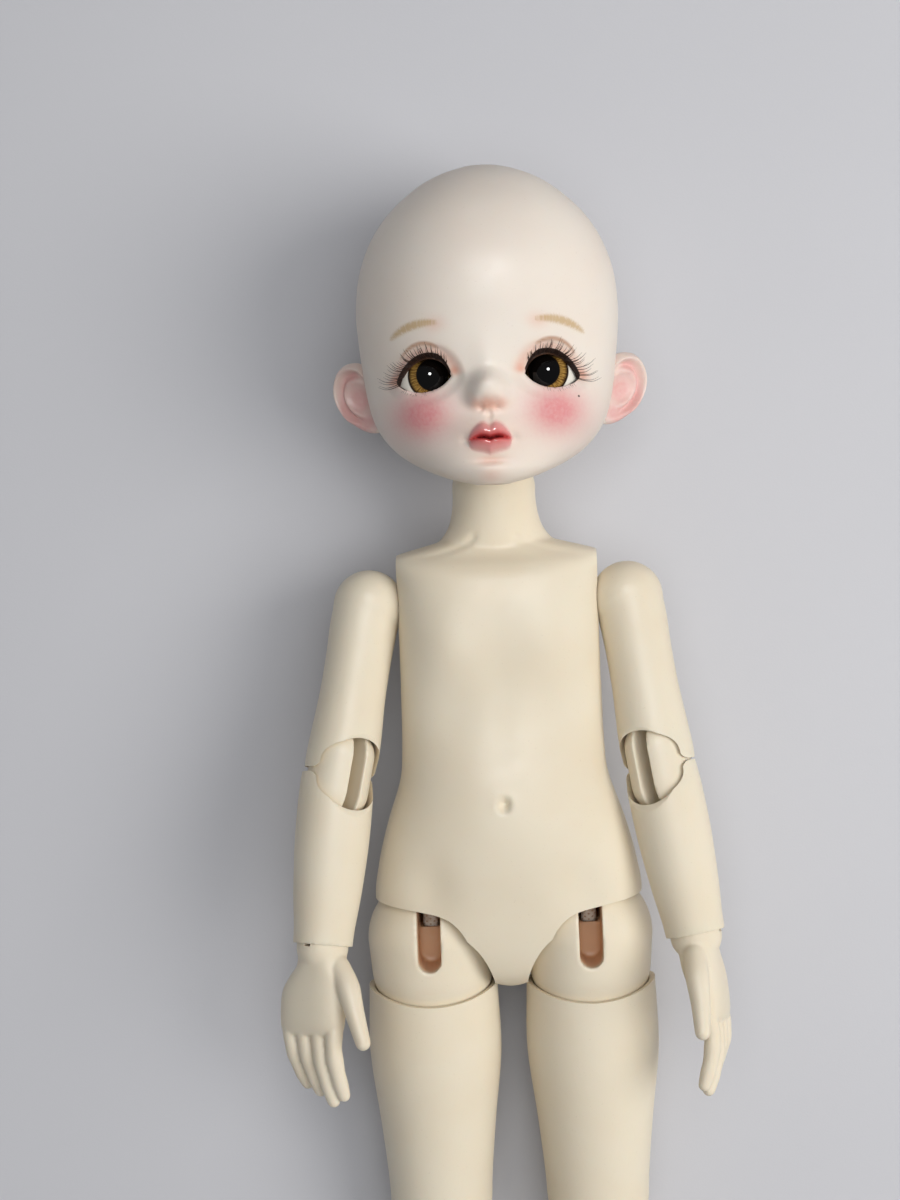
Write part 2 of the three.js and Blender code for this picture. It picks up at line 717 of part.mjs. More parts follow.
function buildLeg(parent, name, side) {
  const leg = addGroup(parent, side * hipX, 0, 0);
  leg.rotation.x = radians(legPitch);
  const cordLow = hipSlotShoulder + jointGap;
  const cordHigh = hipRadius - legCordRadius * 2;
  const stretch = rod(legCordRadius, 'y', cordLow, cordHigh, 0, 0, 0, cordSides);
  addPiece(leg, `hip_cord_${name}`, stretch, 'elastic');

  const hipFoot = thighBallDrop + thighBallRadius;
  const hip = solid(hipForm(0)).subtract(hipSlot())
    .subtract(rod(legBoreRadius, 'y', -hipFoot - cutOverrun, hipSlotShoulder + cutOverrun, 0, 0, 0));
  addPiece(leg, `hip_piece_${name}`, hip, 'bodyResin');

  const kneeTop = kneeDrop - kneeSpacing / 2;
  const thighSize = { run: -kneeDrop, width: thighHalfWidth, front: thighHalfDepth, back: thighHalfDepth };
  const rim = rod(thighRimRadius, 'z', -thighHalfWidth * 2, thighHalfWidth * 2,
    0, thighRimRadius - thighRimDrop, 0, 24);
  const thigh = solid(mirrorIf(loft(thighShares, thighSize), side)).subtract(rim)
    .subtract(ball(thighBallRadius + looseGap, 0, -thighBallDrop, 0))
    .subtract(pastRim(kneeRadius, -kneeTop, false, Math.PI, kneeCupRiseShare))
    .subtract(ball(kneeRadius + cupGap, 0, -kneeTop, 0))
    .subtract(rod(legBoreRadius, 'y', -kneeTop, -hipFoot, 0, 0, 0));
  addPiece(leg, `thigh_${name}`, thigh, 'bodyResin');
  const thighCord = rod(legCordRadius, 'y', kneeRadius - kneeTop + looseGap, -hipFoot - jointGap,
    0, 0, 0, cordSides);
  addPiece(leg, `thigh_cord_${name}`, thighCord, 'elastic');

  const knee = addGroup(leg, 0, -kneeDrop, 0);
  const turned = doubleJoint(kneeRadius, kneeSpacing, kneeSlotWidth).rotate([0, 180, 0]);
  const kneecap = ball(kneeRadius * kneecapShare, 0, 0, kneeRadius * kneecapSetShare,
    smallBall);
  addPiece(knee, `knee_piece_${name}`, turned.add(kneecap), 'bodyResin');

  const shinTop = kneeSpacing / 2;
  const shinSize = { run: -shinDrop, width: shinHalfWidth, front: shinHalfDepth, back: shinHalfDepth };
  const shin = solid(loft(shinShares, shinSize))
    .subtract(pastRim(kneeRadius, -shinTop, true, Math.PI, kneeCupRiseShare))
    .subtract(ball(kneeRadius + cupGap, 0, -shinTop, 0))
    .subtract(box(shinHalfWidth * 2, soleDrop, shinHalfWidth * 2, 0, ankleShow - shinDrop - soleDrop / 2, 0))
    .subtract(ball(ankleRadius + cupGap, 0, -shinDrop, 0, smallBall))
    .subtract(rod(legBoreRadius, 'y', -shinDrop, -shinTop, 0, 0, 0));
  addPiece(knee, `shin_${name}`, shin, 'bodyResin');
  const shank = ankleRadius * 1.8;
  const shinCord = rod(legCordRadius, 'y', shank + jointGap * 2 - shinDrop,
    -shinTop - kneeRadius - looseGap, 0, 0, 0, cordSides);
  addPiece(knee, `shin_cord_${name}`, shinCord, 'elastic');

  const ankle = addGroup(knee, 0, -shinDrop, 0);
  addPiece(ankle, `ankle_hook_${name}`, solid(hookWire(shank)), 'steel');
  const foot = addGroup(ankle, 0, 0, 0);
  foot.rotation.x = -radians(legPitch);
  addPiece(foot, `foot_${name}`, footSolid(side), 'bodyResin');
}

function footSolid(side) {
  const size = { run: -footLength, width: footHalfWidth, front: footRise, back: footRise };
  const form = loft(footShares, size, { sides: footSides });
  form.rotateX(-Math.PI / 2).translate(0, -soleDrop, -heelReach);
  let foot = solid(form).add(ball(ankleRadius, 0, 0, 0, smallBall));
  const neckSize = { run: -soleDrop, width: ankleRadius, front: ankleRadius, back: ankleRadius };
  foot = foot.add(solid(loft(ankleShares, neckSize)));
  toeShares.forEach(({ across, ahead, thick }) => {
    const radius = toeRadius * thick;
    foot = foot.add(ball(radius, across * footHalfWidth, radius - soleDrop,
      ahead * footLength - heelReach, { sides: 6, rings: 4 }));
  });
  foot = foot.subtract(box(footLength, soleDrop, footLength * 3, 0, -soleDrop * 1.5, 0));
  foot = foot.subtract(hookSeat(ankleRadius));
  return side > 0 ? foot.mirror([1, 0, 0]) : foot;
}

function buildArm(parent, name, rest) {
  const { side } = rest;
  const arm = addGroup(parent, side * shoulderX, shoulderRise, 0);
  arm.rotation.set(radians(rest.pitch), 0, side * radians(rest.spread));
  const bendTurn = -side * radians(rest.bendTurn);

  const stretchEnd = shoulderRadius - jointGap * 2;
  const from = side > 0 ? -stretchEnd : jointGap;
  const stretch = rod(armCordRadius, 'x', from, from + stretchEnd - jointGap, 0, 0, 0, cordSides);
  addPiece(arm, `shoulder_cord_${name}`, stretch, 'elastic');

  const reach = shoulderRadius + cutOverrun;
  const slotHalf = armCordRadius + looseGap;
  const armSize = { run: -upperArmLength, width: upperArmHalfWidth,
    front: upperArmHalfWidth, back: upperArmHalfWidth };
  const slot = box(reach, reach + slotHalf, slotHalf * 2,
    -side * (reach / 2 - slotHalf), (reach - slotHalf) / 2, 0);
  const upper = solid(mirrorIf(loft(upperArmShares, armSize), side))
    .add(ball(shoulderRadius, 0, 0, 0))
    .subtract(pastRim(elbowRadius, -upperArmLength, false, bendTurn))
    .subtract(ball(elbowRadius + cupGap, 0, -upperArmLength, 0))
    .subtract(slot)
    .subtract(rod(armBoreRadius, 'y', -upperArmLength, 0, 0, 0, 0));
  addPiece(arm, `upper_arm_${name}`, upper, 'bodyResin');
  const armCord = rod(armCordRadius, 'y', elbowRadius - upperArmLength + looseGap,
    -armCordRadius - looseGap, 0, 0, 0, cordSides);
  addPiece(arm, `upper_arm_cord_${name}`, armCord, 'elastic');

  const elbow = addGroup(arm, 0, -upperArmLength - elbowSpacing / 2, 0);
  elbow.rotation.y = bendTurn;
  addPiece(elbow, `elbow_piece_${name}`,
    doubleJoint(elbowRadius, elbowSpacing, elbowSlotWidth), 'bodyResin');

  const lower = addGroup(arm, 0, -upperArmLength - elbowSpacing, 0);
  lower.rotation.z = side * radians(rest.forearmSpread);
  const forearmSize = { run: -forearmLength, width: forearmHalfWidth,
    front: forearmHalfWidth, back: forearmHalfWidth };
  const shank = wristRadius * 1.7;
  const forearm = solid(loft(forearmShares, forearmSize))
    .subtract(pastRim(elbowRadius, 0, true, bendTurn))
    .subtract(ball(elbowRadius + cupGap, 0, 0, 0))
    .subtract(ball(wristRadius + cupGap, 0, -forearmLength, 0, smallBall))
    .subtract(rod(armBoreRadius, 'y', -forearmLength, 0, 0, 0, 0));
  addPiece(lower, `forearm_${name}`, forearm, 'bodyResin');
  const lowerCord = rod(armCordRadius, 'y', shank - forearmLength + jointGap * 2,
    -elbowRadius - looseGap, 0, 0, 0, cordSides);
  addPiece(lower, `forearm_cord_${name}`, lowerCord, 'elastic');

  const wrist = addGroup(lower, 0, -forearmLength, 0);
  wrist.rotation.y = side * radians(rest.handRoll);
  addPiece(wrist, `wrist_hook_${name}`, solid(hookWire(shank)), 'steel');
  addPiece(wrist, `hand_${name}`, handSolid(side), 'bodyResin');
}

// A right hand with its thumb towards +X, mirrored for the left
function handSolid(side) {
  const palmSize = { run: -palmLength, width: palmHalfWidth, front: palmHalfDepth, back: palmHalfDepth };
  let hand = solid(loft(palmShares, palmSize, { sides: footSides, power: boxPower }));
  fingerShares.forEach(({ across, length, drift }) => {
    const points = fingerBoneShares.map((share, bone) => new THREE.Vector3(
      across * palmHalfWidth + drift * share * fingerLength,
      -palmLength * fingerRootShare - share * length * fingerLength,
      fingerCurlShares[bone] * fingerLength,
    ));
    const radii = fingerThicknessShares.map((share) => share * fingerRadius);
    hand = hand.add(solid(sweep(points, radii, { sides: 6, steps: 4 })));
  });
  const points = thumbShares.map(({ across, along, forward }) => new THREE.Vector3(
    across * palmHalfWidth, -along * thumbLength, forward * palmHalfDepth,
  ));
  const radii = thumbShares.map(({ thick }) => thick * thumbRadius);
  hand = hand.add(solid(sweep(points, radii, { sides: 6, steps: 5 })));
  hand = hand.rotate([0, 0, palmTilt]).add(ball(wristRadius, 0, 0, 0, smallBall))
    .subtract(hookSeat(wristRadius));
  return side > 0 ? hand.mirror([1, 0, 0]) : hand;
}

// Raises and sinks the front of the skull by the face's swellings and hollows.
function modelFace(geometry) {
  const place = geometry.attributes.position;
  for (let i = 0; i < place.count; i += 1) {
    const x = place.getX(i) / headHalfWidth;
    const y = place.getY(i) / headHeight;
    const z = place.getZ(i);
    if (z > 0) {
      let rise = 0;
      faceFormShares.forEach(([across, up, wide, tall, out]) => {
        const aside = (Math.abs(x) - across) / wide;
        const above = (y - up) / tall;
        rise += out * Math.exp(-aside * aside - above * above);
      });
      place.setZ(i, z + rise * faceDepth);
    }
  }
  return geometry;
}

function lidOutline() {
  const half = eyeOpeningWidth / 2;
  const pull = half * lidPullShare;
  const outline = new THREE.Shape();
  outline.moveTo(-half, 0);
  outline.bezierCurveTo(-pull, upperLidRise * 4 / 3, pull, upperLidRise * 4 / 3, half, 0);
  outline.bezierCurveTo(pull, -lowerLidDrop * 4 / 3, -pull, -lowerLidDrop * 4 / 3, -half, 0);
  return outline;
}

function earSolid(side) {
  const shell = new THREE.SphereGeometry(1, 12, 6).scale(earHalfWidth, earHalfHeight, earHalfDepth);
  const hollow = new THREE.SphereGeometry(1, 10, 5).scale(
    earHalfWidth * earHollowShare, earHalfHeight * earHollowShare, earHollowDepth);
  hollow.translate(0, 0, earHalfDepth);
  const ear = solid(shell.rotateY(radians(earTurn)))
    .subtract(solid(hollow.rotateY(radians(earTurn))));
  const placed = ear.translate([earSpacing / 2, earRise - chinDrop, headAhead + earSet]);
  return side > 0 ? placed : placed.mirror([1, 0, 0]);
}

// The front of the cap's joint face, grown forward or back along its normal
function capSide(growth) {
  const reach = (headHeight + skullDepth) * 2;
  const slab = new THREE.BoxGeometry(reach, reach, reach).translate(0, 0, growth - reach / 2);
  slab.rotateX(radians(crownLean));
  return solid(slab.translate(0, headHeight - chinDrop, headAhead + capTopAhead));
}

// A round plug square to the cap's joint face, from one place to another along its normal
function capPlug(radius, from, to, side) {
  const plug = new THREE.CylinderGeometry(radius, radius, to - from, smallSides);
  plug.rotateX(Math.PI / 2).translate(0, 0, (from + to) / 2).rotateX(radians(crownLean));
  const drop = headHeight - chinDrop - magnetRise;
  return solid(plug.translate(side * magnetSpacing / 2, magnetRise,
    headAhead + capTopAhead - drop * Math.tan(radians(crownLean))));
}

function buildHead(torso) {
  const head = addGroup(torso, 0, neckRise, neckSet);
  head.rotation.x = -radians(torsoPitch);

  const neckTop = neckRadius;
  const strand = [
    [-neckCordSpread, -neckLoopDrop],
    [-neckCordSpread, 0],
    [0, neckCordSpread],
    [neckCordSpread, 0],
    [neckCordSpread, -neckLoopDrop],
  ].map(([x, y]) => new THREE.Vector3(x, y, 0));
  const loop = solid(sweep(strand, [neckCordRadius, neckCordRadius], { steps: 15 }));
  addPiece(head, 'neck_cord', loop, 'elastic');

  const barRise = headFloorRise + looseGap + hookWireRadius;
  const low = neckCordSpread - neckCordRadius - hookWireRadius - looseGap;
  const aside = neckCordRadius + hookWireRadius + looseGap;
  const hookPoints = [
    [-headSlotWidth, barRise, 0],
    [-headSlotWidth / 2, barRise + hookWireRadius, 0],
    [0, barRise - hookWireRadius, 0],
    [0, neckTop, aside / 2],
    [0, neckTop / 2, aside],
    [0, neckCordSpread, aside],
    [0, low, 0],
    [0, neckCordSpread, -aside],
  ].map((point) => new THREE.Vector3(...point));
  const hook = solid(sweep(hookPoints, [hookWireRadius, hookWireRadius], { steps: 12 }));
  addPiece(head, 'head_hook', hook, 'steel');

  const outerSize = { run: headHeight, width: headHalfWidth, front: faceDepth, back: skullDepth };
  const outerForm = modelFace(loft(headShares, outerSize,
    { sides: headSides, power: headPower, crowding: frontCrowding }));
  const outer = solid(outerForm.translate(0, -chinDrop, headAhead));
  const innerSize = { run: headHeight - resinWall * 2, width: headHalfWidth - resinWall,
    front: faceDepth - resinWall, back: skullDepth - resinWall };
  const innerForm = loft(headShares, innerSize, { power: headPower });
  const below = box(headHalfWidth * 3, headHeight, skullDepth * 3,
    0, headFloorRise - headHeight / 2, 0);
  const inner = solid(innerForm.translate(0, resinWall - chinDrop, headAhead)).subtract(below);
  let skull = outer;
  [1, -1].forEach((side) => {
    skull = skull.add(earSolid(side));
  });
  skull = skull.subtract(inner);
  [1, -1].forEach((side) => {
    skull = skull.add(capPlug(bossRadius, -bossReach, bossReach, side).intersect(outer));
    const [x, y, z] = [side * eyeSpacing / 2, eyeRise - chinDrop, headAhead + eyeSet];
    const well = eyeRadius + looseGap;
    skull = skull.subtract(ball(well, x, y, z));
    skull = skull.subtract(rod(well, 'z', -well - cutOverrun, 0, x, y, z, ballSides));
    const opening = new THREE.ExtrudeGeometry(lidOutline(),
      { depth: faceDepth, bevelEnabled: false, curveSegments: 6 });
    skull = skull.subtract(solid(opening.translate(x, y, z)));
    skull = skull.subtract(capPlug(magnetRadius + magnetGap,
      -magnetDepth - magnetGap * 2, magnetDepth + magnetGap * 2, side));
  });
  skull = skull.subtract(ball(neckRadius + jointGap, 0, 0, 0));
  skull = skull.subtract(rod(neckRadius + jointGap, 'y', -neckRadius, 0, 0, 0, 0, ballSides));
  skull = skull.subtract(box(headSlotWidth, headFloorRise, headSlotLength,
    0, headFloorRise / 2 + neckRadius / 2, 0));
  addPiece(head, 'head_face', skull.subtract(capSide(jointGap / 2)), 'headResin');
  addPiece(head, 'head_cap', skull.intersect(capSide(-jointGap / 2)), 'headResin');

  [['left', 1], ['right', -1]].forEach(([name, side]) => {
    const inset = magnetGap + jointGap / 2;
    const front = capPlug(magnetRadius, inset, magnetDepth, side);
    const back = capPlug(magnetRadius, -magnetDepth, -inset, side);
    addPiece(head, `face_magnet_${name}`, front, 'magnet');
    addPiece(head, `cap_magnet_${name}`, back, 'magnet');
    buildEye(head, name, side);
  });
}

function buildEye(head, name, side) {
  const socket = addGroup(head, side * eyeSpacing / 2, eyeRise - chinDrop, headAhead + eyeSet);
  const profile = [new THREE.Vector2(0, -eyeBackSet)];
  const turns = 8;
  const backAngle = -Math.asin(eyeBackSet / eyeRadius);
  for (let i = 0; i <= turns; i += 1) {
    const angle = THREE.MathUtils.lerp(backAngle, Math.PI / 2, i / turns);
    const radius = Math.cos(angle) * eyeRadius;
    const inward = Math.max(0, 1 - (radius / corneaRadius) ** 2);
    profile.push(new THREE.Vector2(i === turns ? 0 : radius,
      Math.sin(angle) * eyeRadius + corneaRise * inward));
  }
  const eye = new THREE.LatheGeometry(profile, 16).rotateX(Math.PI / 2);
  addPiece(socket, `eye_${name}`, solid(eye), 'eye');

  const top = -eyeBackSet - jointGap;
  const ring = [
    [puttyInnerRadius, top],
    [puttyInnerRadius, top - puttyDepth],
    [puttyOuterRadius, top - puttyDepth],
    [puttyOuterRadius, top],
    [puttyInnerRadius, top],
  ].map(([radius, z]) => new THREE.Vector2(radius, z));
  const putty = new THREE.LatheGeometry(ring, smallSides).rotateX(Math.PI / 2);
  addPiece(socket, `eye_putty_${name}`, solid(putty), 'putty');

  const lashPoints = [];
  const half = eyeOpeningWidth / 2 * lashSpanShare;
  const spots = 6;
  for (let i = 0; i <= spots; i += 1) {
    const x = THREE.MathUtils.lerp(-half, half, i / spots);
    const away = (x / (eyeOpeningWidth / 2)) ** 2;
    const y = upperLidRise * (1 - away) - lashSet;
    const surface = eyeRadius + corneaRise + lashRadius;
    lashPoints.push(new THREE.Vector3(x, y, Math.sqrt(surface ** 2 - x ** 2 - y ** 2)));
  }
  const lash = sweep(lashPoints, [lashRadius, lashRadius], { sides: 6, steps: 8 });
  addPiece(socket, `eyelash_${name}`, solid(lash), 'lash');
}

const doll = new THREE.Group();
const torso = addGroup(doll, 0, 0, 0);
torso.rotation.x = radians(torsoPitch);
buildTorso(torso);
buildTorsoCords(torso);
buildHead(torso);
Object.entries(armRest).forEach(([name, rest]) => buildArm(torso, name, rest));
buildLeg(doll, 'left', 1);
buildLeg(doll, 'right', -1);

// Sets the doll on the ground, centred between crown and soles.
const bounds = new THREE.Box3().setFromObject(doll, true);
doll.position.set(0, -(bounds.min.y + bounds.max.y) / 2, -bounds.min.z);

export default doll;
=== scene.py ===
"""Blender scene of a ball jointed doll that rests on its back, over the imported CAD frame.

Each piece of the frame is shaped again at full fineness in its own place and body, and is
dressed with procedural materials. Forms are shaped in millimetres, each in the frame of the
limb that it belongs to, and are placed in metres in the row frame.
"""

import json
import logging
import math
from collections.abc import Iterable, Sequence
from dataclasses import dataclass, field
from enum import Enum

import bmesh
import bpy
import numpy as np
from mathutils import Matrix, Vector

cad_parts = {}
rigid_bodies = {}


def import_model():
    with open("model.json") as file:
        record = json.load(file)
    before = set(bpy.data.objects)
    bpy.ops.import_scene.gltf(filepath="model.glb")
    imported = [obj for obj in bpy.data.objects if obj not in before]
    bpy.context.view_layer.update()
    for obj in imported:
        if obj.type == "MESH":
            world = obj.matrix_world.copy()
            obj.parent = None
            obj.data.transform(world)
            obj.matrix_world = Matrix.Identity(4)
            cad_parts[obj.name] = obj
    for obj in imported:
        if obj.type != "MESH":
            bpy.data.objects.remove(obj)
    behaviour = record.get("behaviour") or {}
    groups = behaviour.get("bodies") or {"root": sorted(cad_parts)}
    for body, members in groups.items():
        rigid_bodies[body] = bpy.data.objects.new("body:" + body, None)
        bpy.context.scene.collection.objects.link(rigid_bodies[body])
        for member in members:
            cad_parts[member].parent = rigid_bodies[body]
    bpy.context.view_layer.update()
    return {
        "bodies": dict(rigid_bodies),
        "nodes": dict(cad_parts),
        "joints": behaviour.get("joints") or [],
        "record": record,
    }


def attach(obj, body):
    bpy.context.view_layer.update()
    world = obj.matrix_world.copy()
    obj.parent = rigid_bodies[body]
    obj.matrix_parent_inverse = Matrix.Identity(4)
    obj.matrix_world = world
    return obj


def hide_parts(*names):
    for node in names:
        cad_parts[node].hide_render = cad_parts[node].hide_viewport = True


log = logging.getLogger("doll")

MM = 0.001
"""Metres in a millimetre."""

Rows = Sequence[Sequence[float]]
Point = tuple[float, float, float]


# Choices


class Side(Enum):
    """The doll's left and right."""

    LEFT = "left"
    RIGHT = "right"

    @property
    def sign(self) -> float:
        """+1 on the doll's left, which is +X, and -1 on its right."""
        return 1.0 if self is Side.LEFT else -1.0


class Axis(Enum):
    """An axis that a rod runs along."""

    X = "X"
    Y = "Y"
    Z = "Z"


class Union(Enum):
    """How one solid acts on another."""

    JOIN = "UNION"
    CUT = "DIFFERENCE"
    COMMON = "INTERSECT"


# Places, curves and numbers


def moved(x: float, y: float, z: float) -> Matrix:
    """A shift in millimetres."""
    return Matrix.Translation((x, y, z))


def turned(axis: str, degrees: float) -> Matrix:
    """A turn about one axis."""
    return Matrix.Rotation(math.radians(degrees), 4, axis)


def smoothstep(low: float, high: float, value: np.ndarray) -> np.ndarray:
    """Rises smoothly from 0 at low to 1 at high."""
    t = np.clip((value - low) / (high - low), 0.0, 1.0)
    return t * t * (3.0 - 2.0 * t)


def hump(value: np.ndarray | float, centre: float, reach: float) -> np.ndarray | float:
    """A bell of height 1 about a centre."""
    return np.exp(-(((value - centre) / reach) ** 2))


def bell(
    x: np.ndarray, y: np.ndarray, across: float, up: float, wide: float, tall: float
) -> np.ndarray:
    """A bell of height 1 over two ways."""
    return np.exp(-(((x - across) / wide) ** 2) - ((y - up) / tall) ** 2)


def spline(points: np.ndarray, steps: int) -> np.ndarray:
    """Closer points along a smooth curve, from the second of some points to the last but one."""
    t = (np.arange(steps) / steps)[:, None]
    spans = []
    for a, b, c, d in zip(points[:-3], points[1:-2], points[2:-1], points[3:], strict=True):
        bend = (2 * a - 5 * b + 4 * c - d) * t**2 + (3 * b - a - 3 * c + d) * t**3
        spans.append(b + ((c - a) * t + bend) / 2)
    return np.vstack(spans)


def smooth_rows(rows: Rows, steps: int) -> np.ndarray:
    """Closer rows along a curve through the given ones.

    Args:
        rows: The rows that the curve goes through.
        steps: How many rows each span becomes.

    Returns:
        The closer rows, the last one included.
    """
    given = np.asarray(rows, float)
    padded = np.vstack([given[:1], given, given[-1:]])
    return np.vstack([spline(padded, steps), given[-1:]])


def smooth_loop(points: Sequence[Sequence[float]], steps: int) -> np.ndarray:
    """A closed smooth curve through some points."""
    given = np.asarray(points, float)
    return spline(np.vstack([given[-1:], given, given[:2]]), steps)


def bezier(points: Sequence[Sequence[float]], count: int) -> np.ndarray:
    """Points along a cubic curve."""
    a, b, c, d = np.asarray(points, float)
    t = np.linspace(0, 1, count)[:, None]
    return (1 - t) ** 3 * a + 3 * (1 - t) ** 2 * t * b + 3 * (1 - t) * t**2 * c + t**3 * d


def curve_distance(x: np.ndarray, y: np.ndarray, line: np.ndarray) -> tuple[np.ndarray, np.ndarray]:
    """How far points lie from a line of points.

    Args:
        x: Where the points lie across.
        y: Where the points lie up.
        line: The line's own points, one to a row.

    Returns:
        The distance, and the share of the line at which it is nearest.
    """
    best = np.full(x.shape, 1e9)
    share = np.zeros(x.shape)
    spans = len(line) - 1
    for k in range(spans):
        (ax, ay), (bx, by) = line[k], line[k + 1]
        run = max((bx - ax) ** 2 + (by - ay) ** 2, 1e-9)
        t = np.clip(((x - ax) * (bx - ax) + (y - ay) * (by - ay)) / run, 0, 1)
        away = np.hypot(x - ax - t * (bx - ax), y - ay - t * (by - ay))
        nearer = away < best
        best = np.where(nearer, away, best)
        share = np.where(nearer, (k + t) / spans, share)
    return best, share


def inside_loop(x: np.ndarray, y: np.ndarray, loop: np.ndarray) -> np.ndarray:
    """Whether points lie within a closed line."""
    inside = np.zeros(x.shape, bool)
    for (ax, ay), (bx, by) in zip(loop, np.roll(loop, -1, axis=0), strict=True):
        if ay == by:
            continue
        crosses = (ay > y) != (by > y)
        inside ^= crosses & (x < (bx - ax) * (y - ay) / (by - ay) + ax)
    return inside


# Solids


def quads(low: int, high: int, sides: int) -> list[list[int]]:
    """The faces between two rings of corners, from each ring's first corner."""
    here = np.arange(sides)
    after = (here + 1) % sides
    return np.stack([low + here, low + after, high + after, high + here], 1).tolist()


def choose(*shapes: bpy.types.Object) -> None:
    """Selects some objects and no others, with the first one active."""
    bpy.ops.object.select_all(action="DESELECT")
    for shape in shapes:
        shape.select_set(True)
    if shapes:
        bpy.context.view_layer.objects.active = shapes[0]


@dataclass(frozen=True)
class Section:
    """The size that a loft's share rows follow, in millimetres."""

    run: float
    width: float
    front: float
    back: float


@dataclass
class Form:
    """A closed solid while it is being shaped."""

    shape: bpy.types.Object

    @classmethod
    def of_rings(cls, rings: np.ndarray) -> "Form":
        """A solid skinned over rings of points, with a fan over each end.

        Args:
            rings: An array of rings, each with the same number of points.

        Returns:
            The solid, its faces turned outward.
        """
        count, sides = rings.shape[:2]
        here = np.arange(sides)
        after = (here + 1) % sides
        hub, top = count * sides, (count - 1) * sides
        faces: list[list[int]] = []
        for low in range(0, top, sides):
            faces += quads(low, low + sides, sides)
        faces += np.stack([after, here, np.full(sides, hub)], 1).tolist()
        faces += np.stack([top + here, top + after, np.full(sides, hub + 1)], 1).tolist()
        places = [*rings.reshape(-1, 3).tolist(), rings[0].mean(0).tolist(), rings[-1].mean(0).tolist()]
        return cls.of_faces(places, faces)

    @classmethod
    def of_faces(cls, places: Sequence, faces: Sequence) -> "Form":
        """A solid from its corners and faces, turned outward."""
        mesh = bpy.data.meshes.new("form")
        mesh.from_pydata(places, [], faces)
        mesh.update()
        work = bmesh.new()
        work.from_mesh(mesh)
        if work.calc_volume(signed=True) < 0:
            bmesh.ops.reverse_faces(work, faces=work.faces)
            work.to_mesh(mesh)
        work.free()
        shape = bpy.data.objects.new("form", mesh)
        bpy.context.scene.collection.objects.link(shape)
        return cls(shape)

    @classmethod
    def _newest(cls, matrix: Matrix) -> "Form":
        """The solid that an operator has just made, moved by a matrix."""
        form = cls(bpy.context.object)
        form.shape.data.transform(matrix @ form.shape.matrix_world)
        form.shape.matrix_world = Matrix.Identity(4)
        return form

    @classmethod
    def ball(cls, radius: float, at: Point = (0, 0, 0), sides: int = 64) -> "Form":
        """A ball about a place."""
        choose()
        bpy.ops.mesh.primitive_uv_sphere_add(segments=sides, ring_count=sides // 2, radius=radius)
        return cls._newest(moved(*at))

    @classmethod
    def rod(
        cls, radius: float, axis: Axis, start: float, end: float, at: Point = (0, 0, 0), sides: int = 48
    ) -> "Form":
        """A round rod along one axis, from one place on it to another."""
        turns = {Axis.X: turned("Y", 90), Axis.Y: turned("X", -90), Axis.Z: Matrix.Identity(4)}
        choose()
        bpy.ops.mesh.primitive_cylinder_add(vertices=sides, radius=radius, depth=end - start)
        return cls._newest(moved(*at) @ turns[axis] @ moved(0, 0, (start + end) / 2))

    @classmethod
    def block(cls, size: Point, at: Point = (0, 0, 0), matrix: Matrix | None = None) -> "Form":
        """A block about a place, then moved by a matrix."""
        choose()
        bpy.ops.mesh.primitive_cube_add(size=1)
        return cls._newest((matrix or Matrix.Identity(4)) @ moved(*at) @ Matrix.Diagonal((*size, 1)))

    def move(self, matrix: Matrix) -> "Form":
        """Moves the solid; a mirroring matrix keeps its faces outward."""
        self.shape.data.transform(matrix)
        if matrix.determinant() < 0:
            self.shape.data.flip_normals()
        return self

    def mirror(self, wanted: bool) -> "Form":
        """Turns the solid into its mirror image across X, where that is wanted."""
        return self.move(Matrix.Diagonal((-1, 1, 1, 1))) if wanted else self

    def act(self, kind: Union, *others: "Form") -> "Form":
        """Joins, cuts or keeps what is common with other solids, which are used up.

        Args:
            kind: What is done.
            others: The solids it is done with.

        Returns:
            This solid.
        """
        for other in others:
            change = self.shape.modifiers.new("act", "BOOLEAN")
            change.operation = kind.value
            change.object = other.shape
            change.solver = "MANIFOLD"
            self._apply(change)
            bpy.data.objects.remove(other.shape)
        return self

    def join(self, *others: "Form") -> "Form":
        """Joins other solids to this one."""
        return self.act(Union.JOIN, *others)

    def cut(self, *others: "Form") -> "Form":
        """Cuts other solids out of this one."""
        return self.act(Union.CUT, *others)

    def copy(self) -> "Form":
        """Another solid of the same shape."""
        twin = self.shape.copy()
        twin.data = self.shape.data.copy()
        bpy.context.scene.collection.objects.link(twin)
        return Form(twin)

    def gather(self, *others: "Form") -> "Form":
        """Takes other solids' faces in as they are, for a casting to fuse."""
        choose(self.shape, *(other.shape for other in others))
        bpy.ops.object.join()
        return self

    def cast(self, grain: float, passes: int = 2) -> "Form":
        """Fuses the solid into one skin whose edges are soft, as cast resin's are.

        Args:
            grain: The skin's face size, in millimetres.
            passes: How often the skin is eased.

        Returns:
            This solid.
        """
        fused = self.shape.modifiers.new("fuse", "REMESH")
        fused.mode = "VOXEL"
        fused.voxel_size = grain
        self._apply(fused)
        return self.ease(passes)

    def ease(self, passes: int) -> "Form":
        """Eases the solid's skin."""
        if passes:
            eased = self.shape.modifiers.new("ease", "SMOOTH")
            eased.factor = 0.5
            eased.iterations = passes
            self._apply(eased)
        return self

    def bevel(self, width: float, rounds: int = 3) -> "Form":
        """Rounds the solid's edges."""
        rounded = self.shape.modifiers.new("round", "BEVEL")
        rounded.width = width
        rounded.segments = rounds
        rounded.limit_method = "ANGLE"
        self._apply(rounded)
        return self

    def places(self) -> np.ndarray:
        """The corners, one to a row."""
        found = np.empty(len(self.shape.data.vertices) * 3)
        self.shape.data.vertices.foreach_get("co", found)
        return found.reshape(-1, 3)

    def set_places(self, places: np.ndarray) -> "Form":
        """Moves the corners."""
        self.shape.data.vertices.foreach_set("co", places.ravel())
        self.shape.data.update()
        return self

